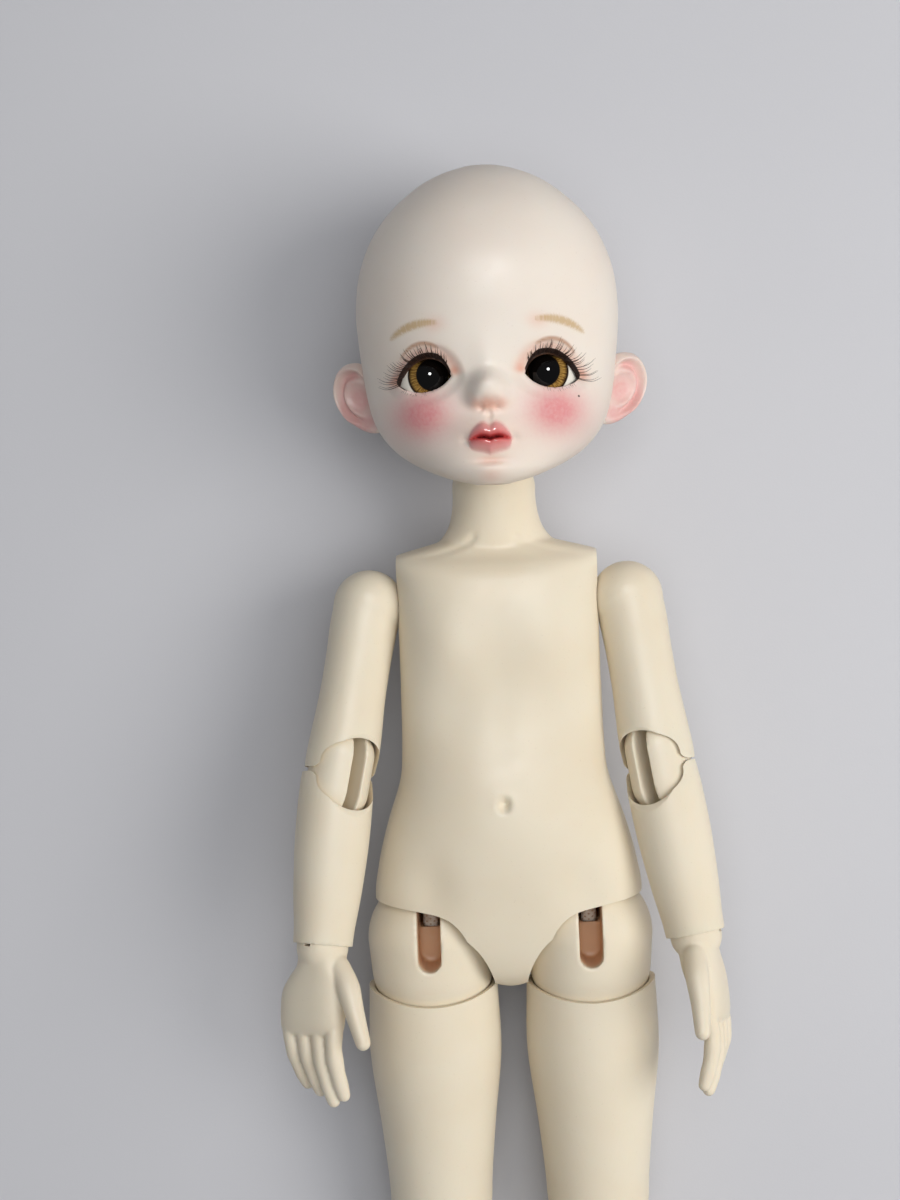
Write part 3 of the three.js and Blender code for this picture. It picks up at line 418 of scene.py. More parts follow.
    def mark(self, name: str, values: np.ndarray) -> "Form":
        """Writes one number to each corner under a name that a finish reads."""
        found = self.shape.data.attributes.new(name, "FLOAT", "POINT")
        found.data.foreach_set("value", values.astype(np.float32))
        return self

    def _apply(self, modifier: bpy.types.Modifier) -> None:
        """Applies one modifier."""
        choose(self.shape)
        bpy.ops.object.modifier_apply(modifier=modifier.name)


def loft(
    rows: Rows, size: Section, sides: int = 72, steps: int = 7, power: float = 2.0, crowding: float = 0.0
) -> Form:
    """Rounded sections stacked along Y, as the CAD part lofts them.

    Args:
        rows: Height, half width, front and back depth, sideways and forward shift, as shares.
        size: What the shares follow.
        sides: Points around each section.
        steps: Sections to a row.
        power: How square each section is; 2 is an ellipse.
        crowding: How far each section's points draw together at the front.

    Returns:
        The solid.
    """
    turn = np.arange(sides) / sides * math.tau
    angle = math.pi / 2 + turn - crowding * np.sin(turn)
    across, ahead = (np.sign(v) * np.abs(v) ** (2 / power) for v in (np.cos(angle), np.sin(angle)))
    shares = smooth_rows(rows, steps)
    depth = np.where(ahead > 0, shares[:, 2:3] * size.front, shares[:, 3:4] * size.back)
    x = shares[:, 4:5] * size.width + shares[:, 1:2] * size.width * across
    z = shares[:, 5:6] * size.front + depth * ahead
    y = np.repeat(shares[:, 0:1] * size.run, sides, 1)
    return Form.of_rings(np.stack([x, y, z], 2))


def tube(points: Sequence[Sequence[float]], radii: Sequence[float], sides: int = 16, steps: int = 8) -> Form:
    """A round tube along a smooth curve, with domed ends and a map of its length.

    Args:
        points: What the curve goes through.
        radii: The radius at even shares of the curve.
        sides: Points around the tube.
        steps: Rings to each span.

    Returns:
        The solid. Its "along" mark is the distance from its start and "around" the share of a turn.
    """
    line = smooth_rows(points, steps)
    lengths = np.concatenate([[0], np.cumsum(np.linalg.norm(np.diff(line, axis=0), axis=1))])
    thickness = np.interp(lengths / lengths[-1], np.linspace(0, 1, len(radii)), radii)
    along = np.gradient(line, axis=0)
    along /= np.linalg.norm(along, axis=1, keepdims=True)
    aside = np.cross(along[0], (1, 0, 0) if abs(along[0][0]) < 0.9 else (0, 1, 0))
    turn = np.arange(sides) / sides * math.tau
    leans = [[0.0] for _ in line]
    leans[0] = [-75.0, -50.0, -25.0, *leans[0]]
    leans[-1] += [25.0, 50.0, 75.0]
    rings, measures = [], []
    for index, place in enumerate(line):
        aside = aside - along[index] * float(aside @ along[index])
        aside /= np.linalg.norm(aside)
        other = np.cross(along[index], aside)
        circle = np.outer(np.cos(turn), aside) + np.outer(np.sin(turn), other)
        for lean in np.radians(leans[index]):
            shift = thickness[index] * math.sin(lean)
            rings.append(place + along[index] * shift + thickness[index] * math.cos(lean) * circle)
            measures.append(np.full(sides, lengths[index] + shift))
    form = Form.of_rings(np.array(rings))
    ends = [measures[0][0], measures[-1][0]]
    form.mark("along", np.concatenate([*measures, ends]))
    around = np.abs(np.tile(np.arange(sides) / sides, len(rings)) * 2 - 1)
    return form.mark("around", np.concatenate([around, [0, 0]]))


def straight_cord(radius: float, start: float, end: float, knots: int, sides: int) -> Form:
    """A cord along Y from one height to another."""
    return tube([(0, y, 0) for y in np.linspace(start, end, knots)], [radius], sides)


def lathe(profile: Sequence[Sequence[float]], sides: int) -> Form:
    """A solid turned about Y from pairs of radius and height; the end pairs lie near the axis."""
    turn = np.arange(sides) / sides * math.tau
    rings = [
        np.stack([radius * np.cos(turn), np.full(sides, rise), radius * np.sin(turn)], 1)
        for radius, rise in profile
    ]
    return Form.of_rings(np.array(rings))


def extruded(outline: np.ndarray, low: float, high: float) -> Form:
    """A flat outline in X and Y given depth along Z."""
    rings = [np.column_stack([outline, np.full(len(outline), z)]) for z in (low, high)]
    return Form.of_rings(np.array(rings))


# Finishes


class Graph:
    """The node tree of one material, built by short calls."""

    def __init__(self, name: str) -> None:
        """Starts an empty material."""
        self.material = bpy.data.materials.new(name)
        self.material.use_nodes = True
        self.tree = self.material.node_tree
        self.tree.nodes.clear()
        self.coordinates = self.tree.nodes.new("ShaderNodeTexCoord").outputs["Object"]

    def put(self, socket: bpy.types.NodeSocket, value: object) -> None:
        """Sets or links one input."""
        if isinstance(value, bpy.types.NodeSocket):
            self.tree.links.new(value, socket)
        elif value is not None:
            socket.default_value = value

    def node(self, kind: str, values: dict[str, object] | None = None, **settings: object) -> bpy.types.Node:
        """Adds a node with settings and inputs."""
        made = self.tree.nodes.new(kind)
        for name, value in settings.items():
            setattr(made, name, value)
        for name, value in (values or {}).items():
            self.put(made.inputs[name], value)
        return made

    def math(self, operation: str, a: object, b: object = None, clamp: bool = False) -> bpy.types.NodeSocket:
        """One step of arithmetic."""
        made = self.node("ShaderNodeMath", operation=operation, use_clamp=clamp)
        self.put(made.inputs[0], a)
        self.put(made.inputs[1], b)
        return made.outputs[0]

    def times(self, a: object, b: object, clamp: bool = False) -> bpy.types.NodeSocket:
        """One product."""
        return self.math("MULTIPLY", a, b, clamp)

    def plus(self, a: object, b: object) -> bpy.types.NodeSocket:
        """One sum."""
        return self.math("ADD", a, b)

    def noise(self, scale: float, detail: float, place: object = None) -> bpy.types.NodeSocket:
        """Noise over the object's own coordinates, or over others."""
        values = {"Vector": place or self.coordinates, "Scale": scale, "Detail": detail}
        return self.node("ShaderNodeTexNoise", values).outputs["Fac"]

    def plane(self, across: object, along: object) -> bpy.types.NodeSocket:
        """Coordinates made of two numbers."""
        return self.node("ShaderNodeCombineXYZ", {"X": across, "Y": along}).outputs[0]

    def mark(self, name: str) -> bpy.types.NodeSocket:
        """A mark that a form carries."""
        return self.node("ShaderNodeAttribute", attribute_name=name).outputs["Fac"]

    def step(self, value: object, start: float, end: float) -> bpy.types.NodeSocket:
        """Goes smoothly from 0 at start to 1 at end; start may be the higher."""
        made = self.node(
            "ShaderNodeMapRange",
            {"Value": value, "From Min": min(start, end), "From Max": max(start, end)},
            interpolation_type="SMOOTHSTEP",
        )
        self.put(made.inputs["To Min"], 0.0 if start < end else 1.0)
        self.put(made.inputs["To Max"], 1.0 if start < end else 0.0)
        return made.outputs[0]

    def mix(self, share: object, a: object, b: object) -> bpy.types.NodeSocket:
        """Mixes two colours."""
        made = self.node("ShaderNodeMix", data_type="RGBA")
        self.put(made.inputs[0], share)
        self.put(made.inputs[6], a)
        self.put(made.inputs[7], b)
        return made.outputs[2]

    def paint(self, below: object, colour: object, mask: object, share: float) -> bpy.types.NodeSocket:
        """Lays a paint over a colour where a mask has it, and at most by a share."""
        return self.mix(self.times(mask, share), below, colour)

    def bump(
        self, height: object, reach: float, strength: float, below: object = None
    ) -> bpy.types.NodeSocket:
        """A bump of a given reach in metres."""
        made = self.node("ShaderNodeBump", {"Height": height, "Distance": reach, "Strength": strength})
        self.put(made.inputs["Normal"], below)
        return made.outputs[0]

    def surface(self, values: dict[str, object]) -> bpy.types.Material:
        """Ends the material with one principled surface."""
        shader = self.node("ShaderNodeBsdfPrincipled", values)
        output = self.node("ShaderNodeOutputMaterial")
        self.tree.links.new(shader.outputs[0], output.inputs["Surface"])
        return self.material


Colour = tuple[float, float, float, float]


def srgb(red: float, green: float, blue: float) -> Colour:
    """A linear colour from display values of 0 to 255."""
    share = [v / 255 for v in (red, green, blue)]
    linear = [v / 12.92 if v <= 0.04045 else ((v + 0.055) / 1.055) ** 2.4 for v in share]
    return (linear[0], linear[1], linear[2], 1.0)


@dataclass(frozen=True)
class ResinFinish:
    """Cast polyurethane resin: matt, faintly waxy, with slow shifts of tone and a fine tooth."""

    name: str
    base: Colour
    shade: Colour
    deep: Colour
    roughness: float = 0.48
    glow: float = 0.12

    def tone(self, graph: Graph) -> bpy.types.NodeSocket:
        """The resin's own colour, which drifts slowly and is speckled very faintly."""
        drift = graph.step(graph.noise(55, 3), 0.35, 0.7)
        mottled = graph.paint(self.base, self.shade, drift, 0.4)
        speck = graph.step(graph.noise(2600, 1), 0.7, 0.78)
        return graph.paint(mottled, self.deep, speck, 0.1)

    def relief(self, graph: Graph) -> bpy.types.NodeSocket:
        """Sanding tooth over a slow unevenness."""
        tooth = graph.bump(graph.noise(5200, 2), 0.00002, 0.35)
        return graph.bump(graph.noise(190, 2), 0.0002, 0.12, tooth)

    def values(self, graph: Graph, colour: bpy.types.NodeSocket) -> dict[str, object]:
        """The surface's inputs for a colour."""
        rough = graph.step(graph.noise(420, 3), 0.2, 0.9)
        return {
            "Base Color": colour,
            "Roughness": graph.plus(graph.times(rough, 0.1), self.roughness - 0.05),
            "Specular IOR Level": 0.42,
            "Subsurface Weight": self.glow,
            "Subsurface Radius": (1.0, 0.55, 0.32),
            "Subsurface Scale": 0.0016,
            "Normal": self.relief(graph),
        }

    def build(self) -> bpy.types.Material:
        """The plain resin."""
        graph = Graph(self.name)
        return graph.surface(self.values(graph, self.tone(graph)))


@dataclass(frozen=True)
class SlotFinish(ResinFinish):
    """Body resin whose cut channels are painted darker and warmer the deeper they go, as painted shade."""

    recess_shade: Colour = srgb(222, 180, 142)

    def build(self) -> bpy.types.Material:
        """Resin with painted shade where its form is marked as deep."""
        graph = Graph(self.name)
        cloudy = graph.plus(graph.times(graph.noise(260, 4), 0.9), 0.6)
        depth = graph.times(graph.mark("depth"), cloudy, clamp=True)
        # Painted shade: the recess colour grows with the depth mark.
        colour = graph.mix(depth, self.tone(graph), self.recess_shade)
        return graph.surface(self.values(graph, colour))


@dataclass(frozen=True)
class FaceFinish(ResinFinish):
    """Head resin with its painted face: lids, brows, lips and a soft blush under matt sealer."""

    lid: Colour = (0.022, 0.01, 0.007, 1.0)
    brow: Colour = (0.5, 0.31, 0.1, 1.0)
    crease: Colour = (0.42, 0.2, 0.1, 1.0)
    peach: Colour = (0.76, 0.39, 0.28, 1.0)
    lip: Colour = (0.74, 0.27, 0.26, 1.0)
    red: Colour = (0.58, 0.05, 0.05, 1.0)
    line: Colour = (0.2, 0.012, 0.015, 1.0)
    blush: Colour = (0.71, 0.25, 0.26, 1.0)

    def build(self) -> bpy.types.Material:
        """Layers the paints over the resin, from the softest to the sharpest."""
        graph = Graph(self.name)
        grain = graph.plus(graph.times(graph.noise(1500, 3), 0.5), 0.75)
        wavy = graph.times(graph.math("SUBTRACT", graph.noise(3200, 2), 0.5), 0.3)
        lips, line = graph.plus(graph.mark("lips"), wavy), graph.mark("lip_line")
        deep = graph.times(graph.step(lips, 0.3, -0.4), graph.step(line, 1.9, 0.1))
        strands = graph.noise(1.0, 2.0, self.combed(graph))
        frayed = graph.plus(graph.mark("brow"), graph.times(graph.math("SUBTRACT", strands, 0.5), 1.2))
        colour = self.tone(graph)
        for paint, mask, share in (
            (self.blush, graph.times(graph.mark("blush"), grain), 0.86),
            (self.peach, graph.times(graph.mark("peach"), grain), 0.9),
            (self.lip, graph.step(lips, 0.65, -0.75), 0.88),
            (self.red, deep, 0.92),
            (self.line, graph.step(line, 0.42, 0.0), 0.9),
            (self.crease, graph.step(graph.mark("crease"), 0.65, 0.05), 0.75),
            (self.brow, graph.step(frayed, 0.3, -0.65), 0.7),
            (self.lid, graph.step(graph.mark("lid"), 0.09, -0.06), 1.0),
            (self.lid, graph.step(graph.mark("speck"), 0.3, 0.16), 1.0),
            # Painted shade: a thin dark line in the crease colour along the seam between face and cap.
            (self.crease, graph.step(graph.mark("seam"), 0.5, 0.2), 0.6),
        ):
            colour = graph.paint(colour, paint, mask, share)
        values = self.values(graph, colour)
        gloss = graph.step(lips, 0.3, -0.4)
        values["Roughness"] = graph.math("SUBTRACT", values["Roughness"], graph.times(gloss, 0.27))
        values["Coat Weight"] = gloss
        values["Coat Roughness"] = 0.09
        return graph.surface(values)

    def combed(self, graph: Graph) -> bpy.types.NodeSocket:
        """Coordinates that run along the brow's hairs."""
        return graph.plane(graph.times(graph.mark("brow_along"), 9.0), graph.times(graph.mark("brow"), 1.2))


@dataclass(frozen=True)
class EyeFinish:
    """A glass-look eye: a white with faint veins, an amber iris of fibres, a black pupil, a gloss and a
    painted shadow.
    """

    name: str = "eye_glass"
    white: Colour = srgb(232, 226, 214)
    amber: Colour = srgb(180, 142, 72)
    bronze: Colour = srgb(104, 72, 30)
    ring: Colour = srgb(34, 18, 8)
    vein: Colour = srgb(214, 170, 160)
    pupil: Colour = srgb(6, 5, 5)
    shadow: Colour = srgb(12, 8, 6)
    iris_radius: float = 4.3
    pupil_radius: float = 2.85

    def build(self) -> bpy.types.Material:
        """Paints rings by the form's marks of reach and turn about its gaze, then a painted shade over the
        eye's upper and inner part.
        """
        graph = Graph(self.name)
        reach, turn = graph.mark("reach"), graph.mark("turn")
        fibre = graph.noise(1.0, 4.0, graph.plane(graph.times(turn, 46.0), graph.times(reach, 0.9)))
        iris = graph.mix(graph.step(fibre, 0.35, 0.62), self.bronze, self.amber)
        iris = graph.paint(iris, self.bronze, graph.step(reach, self.iris_radius, self.pupil_radius), 0.35)
        rim = graph.step(reach, self.iris_radius - 0.75, self.iris_radius - 0.1)
        iris = graph.mix(rim, iris, self.ring)
        white = graph.paint(self.white, self.vein, graph.step(graph.noise(900, 3), 0.6, 0.8), 0.2)
        edge = graph.step(reach, self.iris_radius + 0.14, self.iris_radius - 0.04)
        hole = graph.step(reach, self.pupil_radius + 0.12, self.pupil_radius - 0.1)
        colour = graph.mix(hole, graph.mix(edge, white, iris), self.pupil)
        # Painted shadow of the upper lid and lashes: the shadow colour darkens the eye upward and towards the
        # nose, by the rise mark.
        colour = graph.paint(colour, self.shadow, graph.step(graph.mark("rise"), 0.8, 3.2), 0.92)
        return graph.surface({"Base Color": colour, "Roughness": 0.04, "Specular IOR Level": 0.34})


@dataclass(frozen=True)
class CordFinish:
    """White elastic cord under a braided cotton cover, soiled a little by its channel, with painted shade in
    the pits of its braid.
    """

    name: str
    colour: Colour
    soil_and_pit_shade: Colour
    pitch: float = 1.1

    def build(self) -> bpy.types.Material:
        """Crosses two sets of strands by the cord's own length and turn."""
        graph = Graph(self.name)
        along = graph.math("DIVIDE", graph.mark("along"), self.pitch)
        around = graph.times(graph.mark("around"), 3.0)
        braid = []
        for operation in ("ADD", "SUBTRACT"):
            wave = graph.times(graph.math(operation, along, around), math.pi)
            braid.append(graph.math("ABSOLUTE", graph.math("SINE", wave)))
        strands = graph.math("MAXIMUM", braid[0], braid[1])
        cotton = graph.paint(self.colour, self.soil_and_pit_shade, graph.step(graph.noise(700, 4), 0.42, 0.75), 0.6)
        height = graph.plus(strands, graph.times(graph.noise(9000, 2), 0.25))
        # The soil colour also fills the pits between the strands, as painted shade.
        values = {
            "Base Color": graph.mix(graph.step(strands, 0.75, 0.35), cotton, self.soil_and_pit_shade),
            "Roughness": 0.88,
            "Sheen Weight": 0.3,
            "Normal": graph.bump(height, 0.0001, 0.8),
        }
        return graph.surface(values)


@dataclass(frozen=True)
class MetalFinish:
    """Drawn steel wire or nickel plate, with fine scratches and dull patches."""

    name: str
    colour: Colour
    roughness: float
    dull: Colour = srgb(96, 92, 88)

    def build(self) -> bpy.types.Material:
        """Scratches and patches over the metal's own coordinates."""
        graph = Graph(self.name)
        drawn = graph.node("ShaderNodeMapping", {"Vector": graph.coordinates, "Scale": (1.0, 0.06, 1.0)})
        scratch = graph.noise(1800, 4, drawn.outputs[0])
        patch = graph.step(graph.noise(300, 3), 0.45, 0.7)
        values = {
            "Base Color": graph.paint(self.colour, self.dull, patch, 0.3),
            "Metallic": 1.0,
            "Roughness": graph.plus(graph.times(scratch, 0.14), self.roughness),
            "Normal": graph.bump(scratch, 0.00002, 0.4),
        }
        return graph.surface(values)


@dataclass(frozen=True)
class PuttyFinish:
    """Hand-pressed eye putty, dull and finger-marked."""

    name: str = "eye_putty"
    colour: Colour = srgb(216, 220, 222)
    dust: Colour = srgb(168, 162, 152)

    def build(self) -> bpy.types.Material:
        """Lumps, smears and a little dust."""
        graph = Graph(self.name)
        colour = graph.paint(self.colour, self.dust, graph.step(graph.noise(2400, 3), 0.58, 0.7), 0.35)
        lumps = graph.bump(graph.noise(650, 4), 0.0003, 0.7)
        return graph.surface({"Base Color": colour, "Roughness": 0.8, "Normal": lumps})


@dataclass(frozen=True)
class LashFinish:
    """Fine dark brown synthetic hair, paler towards its tip."""

    name: str = "lash_hair"
    root: Colour = srgb(44, 26, 18)
    tip: Colour = srgb(66, 42, 28)

    def build(self) -> bpy.types.Material:
        """Fades by the hair's own length."""
        graph = Graph(self.name)
        colour = graph.mix(graph.step(graph.mark("along"), 1.2, 3.4), self.root, self.tip)
        uneven = graph.plus(graph.times(graph.noise(2500, 2), 0.2), 0.38)
        return graph.surface({"Base Color": colour, "Roughness": uneven, "Specular IOR Level": 0.4})


@dataclass(frozen=True)
class FloorFinish:
    """A pale seamless table, faintly clouded and finely textured."""

    name: str = "pale_floor"
    colour: Colour = srgb(204, 204, 208)
    cloud: Colour = srgb(190, 190, 195)

    def build(self) -> bpy.types.Material:
        """Slow clouds and a fine tooth."""
        graph = Graph(self.name)
        colour = graph.paint(self.colour, self.cloud, graph.step(graph.noise(5, 3), 0.3, 0.75), 0.3)
        tooth = graph.bump(graph.noise(2200, 3), 0.00006, 0.3)
        return graph.surface({"Base Color": colour, "Roughness": 0.82, "Normal": tooth})


@dataclass
class Finishes:
    """Every finish of the doll, each made once."""

    body: bpy.types.Material
    socket: bpy.types.Material
    face: bpy.types.Material
    cord: bpy.types.Material
    steel: bpy.types.Material
    magnet: bpy.types.Material
    eye: bpy.types.Material
    putty: bpy.types.Material
    lash: bpy.types.Material

    @classmethod
    def build(cls) -> "Finishes":
        """Makes the finishes."""
        ivory, ivory_shade, umber = srgb(230, 219, 197), srgb(224, 208, 181), srgb(150, 122, 88)
        return cls(
            body=ResinFinish("body_resin", ivory, ivory_shade, umber).build(),
            socket=SlotFinish("hip_resin", ivory, ivory_shade, umber).build(),
            face=FaceFinish("head_resin", srgb(233, 223, 211), srgb(228, 213, 199), umber).build(),
            cord=CordFinish("elastic_cord", srgb(238, 232, 220), srgb(196, 172, 142)).build(),
            steel=MetalFinish("steel_wire", srgb(186, 188, 192), 0.26).build(),
            magnet=MetalFinish("magnet_nickel", srgb(206, 206, 210), 0.16).build(),
            eye=EyeFinish().build(),
            putty=PuttyFinish().build(),
            lash=LashFinish().build(),
        )


# Where the limbs lie


@dataclass(frozen=True)
class Proportions:
    """Joint places and ball sizes that several pieces share, in millimetres."""

    hip_x: float = 15.7
    shoulder_x: float = 25.4
    shoulder_rise: float = 66.4
    shoulder_radius: float = 7.1
    neck_rise: float = 88.5
    neck_set: float = -1.0
    neck_radius: float = 8.2
    arm_length: float = 30.0
    elbow_radius: float = 6.2
    elbow_spacing: float = 7.0
    wrist_radius: float = 5.0
    wrist_hook_rise: float = 8.5
    thigh_length: float = 62.0
    knee_radius: float = 8.2
    knee_spacing: float = 9.0
    shin_length: float = 47.0
    ankle_radius: float = 5.4
    ankle_hook_rise: float = 9.72


BODY = Proportions()


@dataclass(frozen=True)
class ArmRest:
    """How one arm lies, in degrees."""

    pitch: float
    spread: float
    forearm_spread: float
    bend_turn: float
    hand_roll: float


@dataclass(frozen=True)
class Frames:
    """The frame of each limb, from millimetres in the limb to millimetres in the row frame."""

    root: Matrix
    torso_pitch: float = 4.0
    leg_pitch: float = 3.9
    arms: dict[Side, ArmRest] = field(
        default_factory=lambda: {
            Side.LEFT: ArmRest(-10, 8.6, 1, 36, 72),
            Side.RIGHT: ArmRest(-13, 11.4, -5, 40, 32),
        }
    )

    @classmethod
    def of_joints(cls, joints: Iterable[dict]) -> "Frames":
        """Finds the root from the hip joint's place."""
        hip = next(j for j in joints if j["name"] == "hip_spread_left")
        return cls(moved(0, hip["pos_m"][1] / MM, hip["pos_m"][2] / MM))

    def torso(self) -> Matrix:
        """The trunk."""
        return self.root @ turned("X", self.torso_pitch)

    def head(self) -> Matrix:
        """The head, about the neck's ball."""
        return self.torso() @ moved(0, BODY.neck_rise, BODY.neck_set) @ turned("X", -self.torso_pitch)

    def arm(self, side: Side) -> Matrix:
        """The upper arm, about the shoulder's ball."""
        rest = self.arms[side]
        place = moved(side.sign * BODY.shoulder_x, BODY.shoulder_rise, 0)
        return self.torso() @ place @ turned("X", rest.pitch) @ turned("Z", side.sign * rest.spread)

    def elbow(self, side: Side) -> Matrix:
        """The elbow piece, halfway between its two balls."""
        middle = moved(0, -BODY.arm_length - BODY.elbow_spacing / 2, 0)
        return self.arm(side) @ middle @ turned("Y", -side.sign * self.arms[side].bend_turn)

    def forearm(self, side: Side) -> Matrix:
        """The forearm, about the elbow's lower ball."""
        low = moved(0, -BODY.arm_length - BODY.elbow_spacing, 0)
        return self.arm(side) @ low @ turned("Z", side.sign * self.arms[side].forearm_spread)

    def wrist(self, side: Side) -> Matrix:
        """The hand, about the wrist's ball."""
        low = moved(0, -BODY.arm_length, 0)
        return self.forearm(side) @ low @ turned("Y", side.sign * self.arms[side].hand_roll)

    def leg(self, side: Side) -> Matrix:
        """The thigh, about the hip's ball."""
        return self.root @ moved(side.sign * BODY.hip_x, 0, 0) @ turned("X", self.leg_pitch)

    def knee(self, side: Side) -> Matrix:
        """The knee piece, halfway between its two balls."""
        return self.leg(side) @ moved(0, -BODY.thigh_length, 0)

    def ankle(self, side: Side) -> Matrix:
        """The ankle's ball."""
        return self.knee(side) @ moved(0, -BODY.shin_length, 0)

    def foot(self, side: Side) -> Matrix:
        """The foot, square to the leg's run."""
        return self.ankle(side) @ turned("X", -self.leg_pitch)


@dataclass
class Workshop:
    """Places finished forms in the scene and ties them to the frame."""

    frames: Frames
    finishes: Finishes
    made: list[bpy.types.Object] = field(default_factory=list)

    def put(
        self,
        form: Form,
        name: str,
        frame: Matrix,
        body: str,
        slot: str,
        material: bpy.types.Material,
        crease: float | None = None,
    ) -> None:
        """Places one piece over the CAD node of the same name.

        Args:
            form: The solid, in its limb's frame.
            name: The CAD node's name.
            frame: The limb's frame.
            body: The moving body that the piece rides.
            slot: The record's material slot; not used.
            material: The finish.
            crease: The angle in degrees above which edges stay sharp; None for none.
        """
        piece = form.move(Matrix.Scale(MM, 4) @ frame).shape
        piece.name = f"{name}_look"
        piece.data.name = piece.name
        piece.data.materials.clear()
        piece.data.materials.append(material)
        choose(piece)
        if crease is None:
            bpy.ops.object.shade_smooth()
        else:
            bpy.ops.object.shade_smooth_by_angle(angle=math.radians(crease))
        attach(piece, body)
        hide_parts(name)
        self.made.append(piece)
        log.info("%s: %d faces", name, len(piece.data.polygons))

    def resin(self, form: Form, name: str, frame: Matrix) -> None:
        """Places one casting that is a moving body of its own."""
        self.put(form, name, frame, name, "body_resin", self.finishes.body, EDGE_ANGLE)

    def cord(self, form: Form, name: str, frame: Matrix, body: str) -> None:
        """Places one piece of cord on a moving body."""
        self.put(form, name, frame, body, "elastic_cord", self.finishes.cord)

    def wire(self, form: Form, name: str, frame: Matrix) -> None:
        """Places one steel hook that is a moving body of its own."""
        self.put(form, name, frame, name, "steel_wire", self.finishes.steel)


# What several limbs share

FAR = 5.0
"""A mark where its paint lies far off."""

CUP_SLOPE = 35.0
"""The slant of a knee cup's rim, in degrees."""

CUP_RISE = 0.52
"""How far past the ball's centre that rim lies, as a share of the ball's radius."""

RIM_GAP = 0.25
"""From a bone's rim to the middle of its elbow, in millimetres, as are the gaps below."""

JOINT_GAP = 0.3
"""Room about the neck's and the shoulder's ball, and between face and cap."""

CUP_GAP = 0.4
"""Room about the ball of an elbow, knee, wrist or ankle."""

LOOSE_GAP = 0.5
"""Room about a hip piece, and from a cord's end to the ball that it runs to."""

HOOK_GAP = 0.6
"""From a hook's tip to the cord above it."""

OVERRUN = 2.0
"""How far a cutting solid reaches past what it cuts."""

BENDS = (0, 14, 28, 42, 56)
"""The bends at which a bone must clear its elbow, in degrees."""

EDGE_ANGLE = 50.0
"""The angle above which a casting's edges stay sharp, in degrees."""

LEG_BORE, LEG_CORD = 2.1, 1.5
"""The radius of a leg's channel and of its cord."""

ARM_BORE, ARM_CORD = 1.6, 1.0
"""The radius of an arm's channel and of its cord."""

WIRE = 0.45
"""The radius of a hook's wire."""


def past_rim(pivot: float, upward: bool) -> Form:
    """All that lies past the slanted rim of a knee's cup, which is cut back behind.

    Args:
        pivot: Where the ball's centre lies along the limb.
        upward: Whether the removed part lies towards the body.

    Returns:
        The solid to cut away.
    """
    reach = BODY.knee_radius * 8
    place = moved(0, BODY.knee_radius * CUP_RISE, 0) @ turned("X", -CUP_SLOPE) @ moved(0, -reach / 2, 0)
    if upward:
        place = turned("Z", 180) @ place
    return Form.block((reach, reach, reach), matrix=moved(0, pivot, 0) @ turned("Y", 180) @ place)


def elbow_room(pivot: float, upward: bool, turn: float) -> list[Form]:
    """What a bone gives up to an elbow: all past the elbow's middle, and its ball, at any bend.

    Args:
        pivot: Where the ball's centre lies along the limb.
        upward: Whether the elbow lies towards the body.
        turn: How far the bend's side is turned about the limb, in degrees.

    Returns:
        The solids to cut away.
    """
    radius, reach = BODY.elbow_radius + CUP_GAP, BODY.elbow_radius * 4
    drop = BODY.elbow_spacing / 2 - RIM_GAP + reach / 2
    base = moved(0, pivot, 0) @ turned("Y", turn) @ turned("Z", 180 if upward else 0)
    cutters = [Form.ball(radius, (0, pivot, 0))]
    for bend in BENDS:
        lean = base @ turned("X", -bend)
        cutters.append(Form.block((reach, reach, reach), (0, -drop, 0), lean))
        cutters.append(Form.rod(radius, Axis.Y, -reach / 2, 0, sides=64).move(lean))
    return cutters


def domed(arcs: Sequence[Point], sides: int) -> Form:
    """A solid turned about Y from places on arcs: each arc's radius and rise, and an angle in degrees."""
    profile = []
    for radius, rise, degrees in arcs:
        angle = math.radians(degrees)
        profile.append((radius * math.cos(angle), rise + radius * math.sin(angle)))
    return lathe(profile, sides)


def double_joint(radius: float, spacing: float, slot_width: float) -> Form:
    """The double-ended joint piece of an elbow or a knee, slotted on its bend side."""
    steps, half = 16, spacing / 2
    low = [(radius, -half, -90 + 90 * k / steps) for k in range(1, steps + 1)]
    high = [(radius, half, 90 * k / steps) for k in range(steps)]
    reach, floor = radius + OVERRUN, radius * 0.2
    slot = Form.block((slot_width, (reach + half) * 2, reach + floor), (0, 0, (reach - floor) / 2))
    return domed(low + high, 64).cut(slot.bevel(0.5))


def hook_wire(shank: float) -> Form:
    """A wire hook that grips a bar at its foot and runs up into a bore."""
    bend = 1.35
    shares = [(-0.2, 1), (-0.9, 0.5), (-0.9, -0.5), (0, -1), (1.2, -0.5), (2, 0)]
    points = [(0.0, bend * up, bend * ahead) for up, ahead in shares]
    return tube([*points, (0.0, shank, 0.0)], [WIRE], sides=14)


def hook_seat(radius: float) -> Form:
    """The room inside a ball for the hook, with the bar that it grips left standing."""
    half, room_radius, bar_radius, reach = 0.75, 2.1, 0.6, radius + OVERRUN
    room = Form.rod(room_radius, Axis.X, -half, half)
    slot = Form.block((half * 2, reach, reach * 2), (0, reach / 2, 0))
    bar = Form.rod(bar_radius, Axis.X, -reach, reach, sides=20)
    return room.join(slot).cut(bar)


# Trunk and limbs


